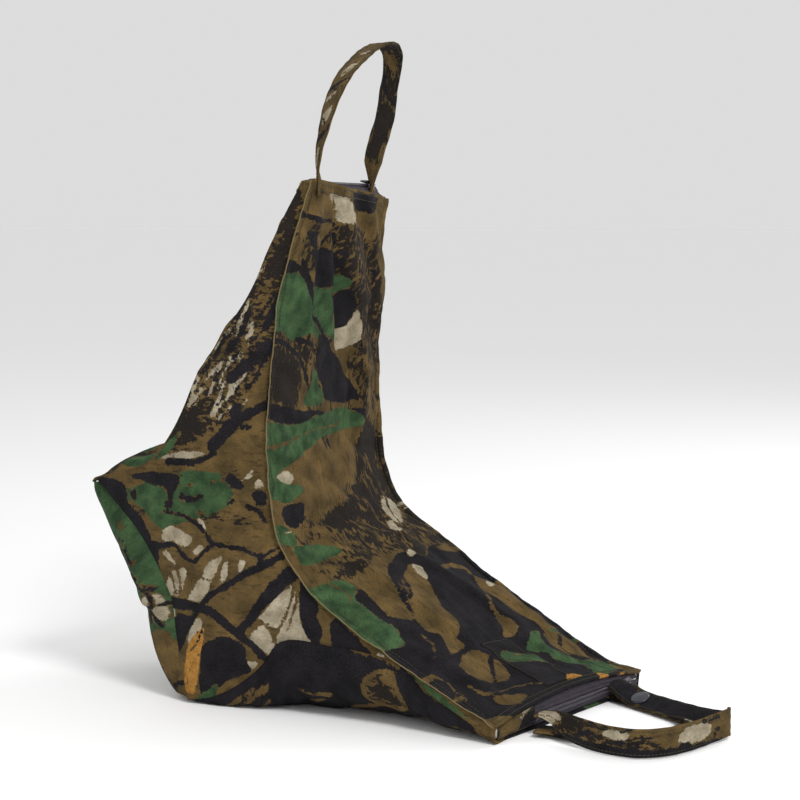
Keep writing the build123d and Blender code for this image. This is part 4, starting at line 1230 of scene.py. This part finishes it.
def strap(name, centre, across, motifs, waist=None, samples=150):
    """A folded and stitched strap along the given points. across gives the direction of its width at each one."""
    points = smooth(centre, samples)
    run = np.concatenate([[0], np.cumsum(np.linalg.norm(np.diff(points, axis=0), axis=1))])
    marks = np.array([run[np.argmin(np.linalg.norm(points - np.array(c, float), axis=1))] for c in centre])
    marks[0], marks[-1] = 0, run[-1]
    width = np.stack([np.interp(run, marks, np.array(across, float)[:, k]) for k in range(3)], axis=1)
    scale = np.interp(run, marks, waist) if waist is not None else np.ones(samples)
    tangent = np.gradient(points, axis=0)
    tangent /= np.linalg.norm(tangent, axis=1, keepdims=True)
    width -= tangent * (width * tangent).sum(1, keepdims=True)
    width /= np.linalg.norm(width, axis=1, keepdims=True)
    face = np.cross(tangent, width)
    profile = [(-10, 0), (-9.8, 0.6), (-9.2, 0.95), (-8.4, 0.95), (-7.8, 0.72), (-7.2, 0.9), (-3.5, 1.0), (0, 0.95),
               (3.5, 1.0), (7.2, 0.9), (7.8, 0.72), (8.4, 0.95), (9.2, 0.95), (9.8, 0.6), (10, 0)]
    profile += [(u, -v) for u, v in profile[-2:0:-1]]
    made = Build()
    sections, flats = [], []
    for i in range(samples):
        cup = 0.35 * math.sin(run[i] * 0.05)
        ring = [
            points[i] + width[i] * u * scale[i]
            + face[i] * (v + cup * (1 - (u / 10) ** 2) + 0.15 * math.sin(run[i] * 0.4 + u))
            for u, v in profile
        ]
        sections.append(ring)
        flats.append([(run[i], u + (OTHER_FACE if k > 14 else 0)) for k, (u, _) in enumerate(profile)])
    made.sweep(sections, flats)
    for u in (-7.8, 7.8):
        for side in (1, -1):
            path = points + width * (u * scale)[:, None] + face * side * 0.72
            made.stitches(path, face * side, pitch=3.0, length=2.1, radius=0.28)
    return made.piece(name, STRAP_CLOTH, THREAD, motifs=motifs)


def strap_print(seed, length):
    """Bars and marks across both faces of a strap."""
    rng = random.Random(seed)
    made = []
    for column in (0, OTHER_FACE):
        at = 4.0
        while at < length:
            kind = rng.choice(("tan", "tan", "black", "green", "bark", "black", "bark"))
            size = rng.uniform(10, 24)
            if kind in ("tan", "green"):
                lean = rng.uniform(-6, 6)
                made.append(patch(kind, (at, column - 11), (at + size * 0.5, column - 12 + lean),
                                  (at + size, column + 11), (at + size * 0.4, column + 12)))
                vein = ((at, column - 8), (at + size * 0.5, column), (at + size, column + 8))
                made.append(stroke("brown", 1.6, *vein))
            elif kind == "bark":
                made += dashes(
                    "black", rng.randint(0, 999), 9, (at, at + size), (column - 10, column + 10), 0.5, 9, 2.4
                )
            else:
                made.append(stroke("black", rng.uniform(3, 8), (at, column - 12), (at + size * 0.4, column),
                                   (at + size * rng.uniform(0.3, 1), column + 12)))
            at += size * rng.uniform(0.8, 1.3)
    return made


def facing(angle):
    """A level direction, that many degrees from the camera towards the right of the picture."""
    a = math.radians(angle)
    v, p = np.array((0.469, -0.883, 0)), np.array((0.883, 0.469, 0))
    return tuple(v * math.cos(a) + p * math.sin(a))


# ---- Build --------------------------------------------------------------------------------------------------
make_camera()
make_stage()
bag = build_bag()
simulate(bag)
refine(bag)
inner = bag.data.copy()
panels = split_panels(bag)
bpy.data.objects.remove(bag)
cloths = {name: Cloth(panel) for name, panel in panels.items()}
panel_prints_and_shade = {
    "saddle_panel": SADDLE_PRINT,
    "near_side_panel": NEAR_SIDE_PRINT,
    "back_panel": scattered_print(4, (0, 300), (-100, 100)),
    "belly_panel": [
        # The belly's black ground is painted shade, for the shadow under the bag; the brown marks and the scattered
        # print on it are its print.
        patch("black", (-20, -120), (-20, 120), (340, 120), (340, -120)),
        *dashes("brown", 51, 70, (0, 280), (-110, 110), 0.1, 30, 4),
        *ragged_patch(random.Random(3), "brown", 105, -78, 34),
        *ragged_patch(random.Random(4), "bark", 105, -78, 24),
        *scattered_print(5, (0, 300), (-30, 100))[::3],
    ],
    "head_panel": [patch("green", (-10, -110), (-10, 110), (240, 110), (240, -110)),
                   patch("tan", (58, -100), (62, -86), (84, -82), (90, -97)),
                   patch("brown", (0, -100), (0, -70), (30, -74), (54, -92), (52, -100)),
                   *dashes("black", 45, 26, (6, 140), (-98, -58), 0.2, 15, 3.4),
                   *dashes("brown", 46, 16, (20, 150), (-98, -58), 0.2, 14, 2.6),
                   *scattered_print(6, (0, 210), (-100, 100))[::2]],
    "far_side_panel": scattered_print(7, (-210, 170), (0, 390)),
}
for name, panel in panels.items():
    put_print(panel, panel_prints_and_shade[name])
    thicken(panel)
    settle(panel, "root", name)

saddle, back, belly = (cloths[name] for name in ("saddle_panel", "back_panel", "belly_panel"))
hem("lower_hem_saddle", "lower_saddle_hem", saddle, saddle.end, -1, 1.0, SADDLE_PRINT)
hem("upper_hem_saddle", "upper_saddle_hem", saddle, 0.0, 1, 2.0, SADDLE_PRINT)
hem("upper_hem_back", "upper_back_hem", back, back.end, -1, 3.0, panel_prints_and_shade["back_panel"])
hem("lower_hem_belly", "lower_belly_hem", belly, 0.0, 1, 4.0, panel_prints_and_shade["belly_panel"])
seam_fin("near_seam", "near_saddle_seam", saddle, "near", 5.0, SADDLE_PRINT)
seam_fin("far_seam", "far_saddle_seam", saddle, "far", 6.0, SADDLE_PRINT)
zip_parts("lower", LOWER_MOUTH, saddle, belly)
zip_parts("upper", UPPER_MOUTH, saddle, back)


def saddle_facing():
    """A strip sewn onto the saddle at the lower mouth."""
    cloth = cloths["saddle_panel"]
    made = Build()
    start, end = cloth.end - 72.0, cloth.end - 9.0
    sections, flats = [], []
    for s in np.linspace(start, end, 40):
        top = [(y, 0.75 if abs(y) < 19.5 else 0.2) for y in np.linspace(-20, 20, 21)]
        ring = [cloth.at(s, y, lift)[0] for y, lift in top] + [cloth.at(s, y, -0.2)[0] for y, _ in top[::-1]]
        sections.append(ring)
        flats.append([(s, y) for y, _ in top] + [(s, y) for y, _ in top[::-1]])
    made.sweep(sections, flats)
    for line in ([(start + 1.5, y) for y in np.arange(-18.5, 19, 1.5)],
                 [(s, -18.5) for s in np.arange(start + 1.5, end, 1.5)],
                 [(s, 18.5) for s in np.arange(start + 1.5, end, 1.5)]):
        made.stitches(*cloth.line(line, 0.75))
    settle(made.piece("facing_strip", CANVAS, THREAD, motifs=SADDLE_PRINT), "root", "saddle_facing")


saddle_facing()


def filling():
    """The beads, as one soft body just inside the cloth."""
    bm = bmesh.new()
    bm.from_mesh(inner)
    bmesh.ops.remove_doubles(bm, verts=bm.verts, dist=0.1 * MM)
    bmesh.ops.holes_fill(bm, edges=[e for e in bm.edges if e.is_boundary], sides=0)
    bmesh.ops.recalc_face_normals(bm, faces=bm.faces)
    for vert in bm.verts:
        vert.co -= vert.normal * 2.4 * MM
    for face in bm.faces:
        face.material_index, face.smooth = 0, True
    mesh = bpy.data.meshes.new("beads")
    bm.to_mesh(mesh)
    bm.free()
    mesh.materials.clear()
    mesh.materials.append(BEADS)
    beads = bpy.data.objects.new("beads", mesh)
    bpy.context.scene.collection.objects.link(beads)
    return settle(beads, "root", "bean_fill")


beads = filling()

# The handles. Widths run along the mouth at each sewn end. Their lines started as photo positions that a scratch
# program projected onto planes through the mouths, and were then moved by hand.
UPPER_CENTRE = [(-12, -86, 379), (-11, -92, 393), (-7, -97, 407), (-4, -95, 422), (-4, -85, 440), (-6, -65, 459),
                (-12, -28, 477), (-18, 0, 486), (-23, 26, 491), (-30, 50, 490), (-35, 64, 484), (-39, 71, 473),
                (-42, 72, 461), (-44, 69, 438), (-46, 63, 422), (-48, 57, 404), (-50, 58, 392), (-51, 60, 378)]
UPPER_ANGLES = [-13, 3, 14, 22, 28, 32, 35, 37, 38, 38, 38, 40, 43, 48, 52, 44, 22, -13]
UPPER_STRAP_PRINT_AND_SHADE = [
    patch("tan", (18, 34), (22, 44), (36, 42), (30, 36)),
    stroke("black", 5, (36, 30), (42, 40), (46, 50)),
    patch("tan", (50, 35), (54, 46), (66, 45), (62, 34)),
    patch("tan", (70, 33), (73, 44), (80, 42), (78, 32)),
    stroke("black", 6, (84, 28), (88, 40), (90, 52)),
    patch("tan", (96, 36), (101, 46), (122, 48), (118, 38)),
    stroke("brown", 1.5, (98, 38), (110, 42), (120, 44)),
    patch("tan", (138, 40), (142, 48), (152, 44), (147, 36)),
    *dashes("black", 63, 12, (20, 150), (30, 50), 0.4, 9, 1.6),
    # The run after the fold: its near-black ground is painted shade, for the shadow that it lies in; the tan, brown
    # and black marks on it are print.
    patch("bark", (156, -12), (156, 12), (320, 12), (320, -12)),
    patch("tan", (168, -5), (174, 5), (196, 2), (204, -4)),
    stroke("black", 5, (158, -10), (166, 0), (172, 10)),
    stroke("black", 7, (206, -11), (214, 0), (232, 11)),
    patch("brown", (226, -9), (232, 6), (252, 8), (244, -8)),
    stroke("black", 6, (250, -10), (266, 0), (276, 11)),
]
upper_handle = strap(
    "upper_handle_strap", UPPER_CENTRE, [facing(a) for a in UPPER_ANGLES], UPPER_STRAP_PRINT_AND_SHADE,
    waist=[0.85, 0.8, 0.85, 0.95] + [1] * 12 + [0.8, 0.8],
)
settle(upper_handle, "upper_handle", "upper_handle")

LOWER_CENTRE = [(146, -60, 14.5), (153, -59, 15), (162, -62, 14.5), (176, -73, 12.5), (194, -82, 11.3), (214, -88, 11),
                (233, -87, 11), (247, -75, 11), (257, -54, 11), (264, -30, 11.5), (268.5, -6, 12), (262, -1, 9.5),
                (240, 12, 7.5), (215, 27, 6.6), (196, 38, 6.2), (182, 45.5, 6.4), (171, 51, 9), (159, 57, 12.5),
                (147, 59, 13)]
ALONG = (0.1435, 0.98965, 0)
LOWER_ACROSS = [ALONG, (0.14, 0.99, 0.1), (0.3, 0.85, 0.5), (0.2, 0.3, 0.95), (0, 0.05, 1), (0, 0, 1), (0, 0, 1),
                (0, 0, 1), (0, 0, 1), (0, 0, 1), (0, 0, 1), (0.4, 0.6, 0.75), (0.5, 0.75, 0.5), (0.5, 0.8, 0.4),
                (0.5, 0.8, 0.38), (0.45, 0.85, 0.38), (0.4, 0.9, 0.3), (0.2, 0.97, 0.1), ALONG]
# The face that shows on the front run has its print at 0, and the other face at OTHER_FACE.
LOWER_STRAP_PRINT = [
    patch("bark", (-5, -12), (-5, 12), (60, 12), (110, 0), (110, -12)),
    patch("tan", (2, -12), (2, 8), (14, 6), (26, 0), (20, -12)),
    stroke("brown", 2.2, (4, -8), (14, -4), (24, -4)),
    patch("black", (26, -12), (34, -5), (80, -3), (120, -5), (172, -7), (172, -12)),
    patch("tan", (124, -2), (128, 7), (150, 8), (162, 3), (158, -4), (134, -5)),
    patch("tan", (66, 3), (78, 9), (92, 6), (84, 0)),
    *dashes("black", 61, 14, (30, 165), (-8, 9), 0.1, 16, 2.4),
    patch("bark", (176, 28), (176, 52), (330, 52), (330, 28)),
    patch("brown", (176, 28), (180, 40), (200, 36), (206, 28)),
    patch("tan", (182, 30), (186, 36), (206, 40), (222, 36), (210, 30)),
    patch("black", (206, 42), (216, 34), (244, 32), (300, 30), (330, 30), (330, 52), (214, 52)),
    stroke("brown", 3, (280, 30), (292, 42), (300, 52)),
]
lower_handle = strap(
    "lower_handle_strap", LOWER_CENTRE, LOWER_ACROSS, LOWER_STRAP_PRINT, samples=190,
    waist=[0.75, 0.7, 0.62, 0.85] + [1] * 13 + [0.95, 0.9],
)
settle(lower_handle, "lower_handle", "lower_handle")

UNDER_CENTRE = [(147, -60, 4), (158, -59, 4), (180, -60, 5), (203, -70, 6), (226, -66, 6.4), (243, -48, 6.4),
                (249, -15, 6), (238, 8, 4.6), (214, 30, 2.2), (190, 46, 1.6), (172, 55, 2.2),
                (158, 59, 3), (147, 60, 4)]
UNDER_ACROSS = [ALONG, ALONG, (0.2, 0.85, 0.4), (0, 0.8, 0.6), (-0.45, 0.7, 0.6), (-0.8, 0.4, 0.6),
                (-0.9, -0.2, 0.5), (-0.6, -0.75, 0.25), (-0.5, -0.85, 0.05), (-0.5, -0.85, -0.02),
                (-0.4, -0.9, -0.02), (-0.14, -0.99, 0), (-0.14, -0.99, 0)]
# The near-black ground of this strap is painted shade, for the shadow of the handle above it; the marks on it are
# print.
UNDER_STRAP_PRINT_AND_SHADE = [patch("bark", (-9, -14), (-9, 60), (400, 60), (400, -14)), *strap_print(33, 360)[::3]]
under = strap("under_handle_strap", UNDER_CENTRE, UNDER_ACROSS, UNDER_STRAP_PRINT_AND_SHADE)
settle(under, "lower_under_handle", "lower_under_handle")


# ---- Press stud, turned to the strap's tilt -----------------------------------------------------------------
STUD_PLACE, STUD_AXIS = np.array((183.2, 45.0, 6.3)), np.array((-0.15, -0.36, 0.92))


def turned(name, node, body, material, profile, base):
    """A round part: profile is (radius, height) from its middle round to its middle again, base its height."""
    axis = STUD_AXIS / np.linalg.norm(STUD_AXIS)
    a = np.cross(axis, (0, 1, 0))
    a /= np.linalg.norm(a)
    b = np.cross(axis, a)
    made = Build()
    turn = np.linspace(0, 2 * math.pi, 48, endpoint=False)
    rings = [
        STUD_PLACE + axis * (base + h) + (a * np.cos(turn)[:, None] + b * np.sin(turn)[:, None]) * max(r, 0.02)
        for r, h in profile
    ]
    made.sweep(rings)
    settle(made.piece(name, material), body, node)


turned("stud_cap", "snap_cap", "lower_handle", CAP_ENAMEL,
       [(0, -0.2), (6.6, -0.2), (7.3, 0.1), (7.5, 0.55), (7.3, 1.0), (6.6, 1.4), (5.6, 1.6), (5.0, 1.62), (3.0, 1.85),
        (1.2, 1.95), (0, 1.97)], 0.95)
turned("stud_socket", "snap_socket", "lower_handle", NICKEL,
       [(0, -0.9), (1.8, -0.9), (2.2, -1.1), (4.2, -1.1), (4.9, -0.7), (5.0, 0), (0, 0.1)], -0.95)
turned("stud_post", "snap_stud", "lower_under_handle", NICKEL,
       [(0, -1.2), (4.9, -1.2), (4.9, -0.9), (2.4, -0.7), (2.0, 0), (0, 0.1)], -1.9)
turned("stud_eyelet", "snap_eyelet", "lower_under_handle", NICKEL,
       [(0, -0.9), (4.6, -0.9), (5.0, -0.6), (5.0, -0.1), (0, 0)], -4.0)

for name, obj in NODES.items():
    if name.endswith(("_slider", "_pull", "_stop", "_stops")):
        for material_slot in obj.material_slots:
            material_slot.material = PAINTED
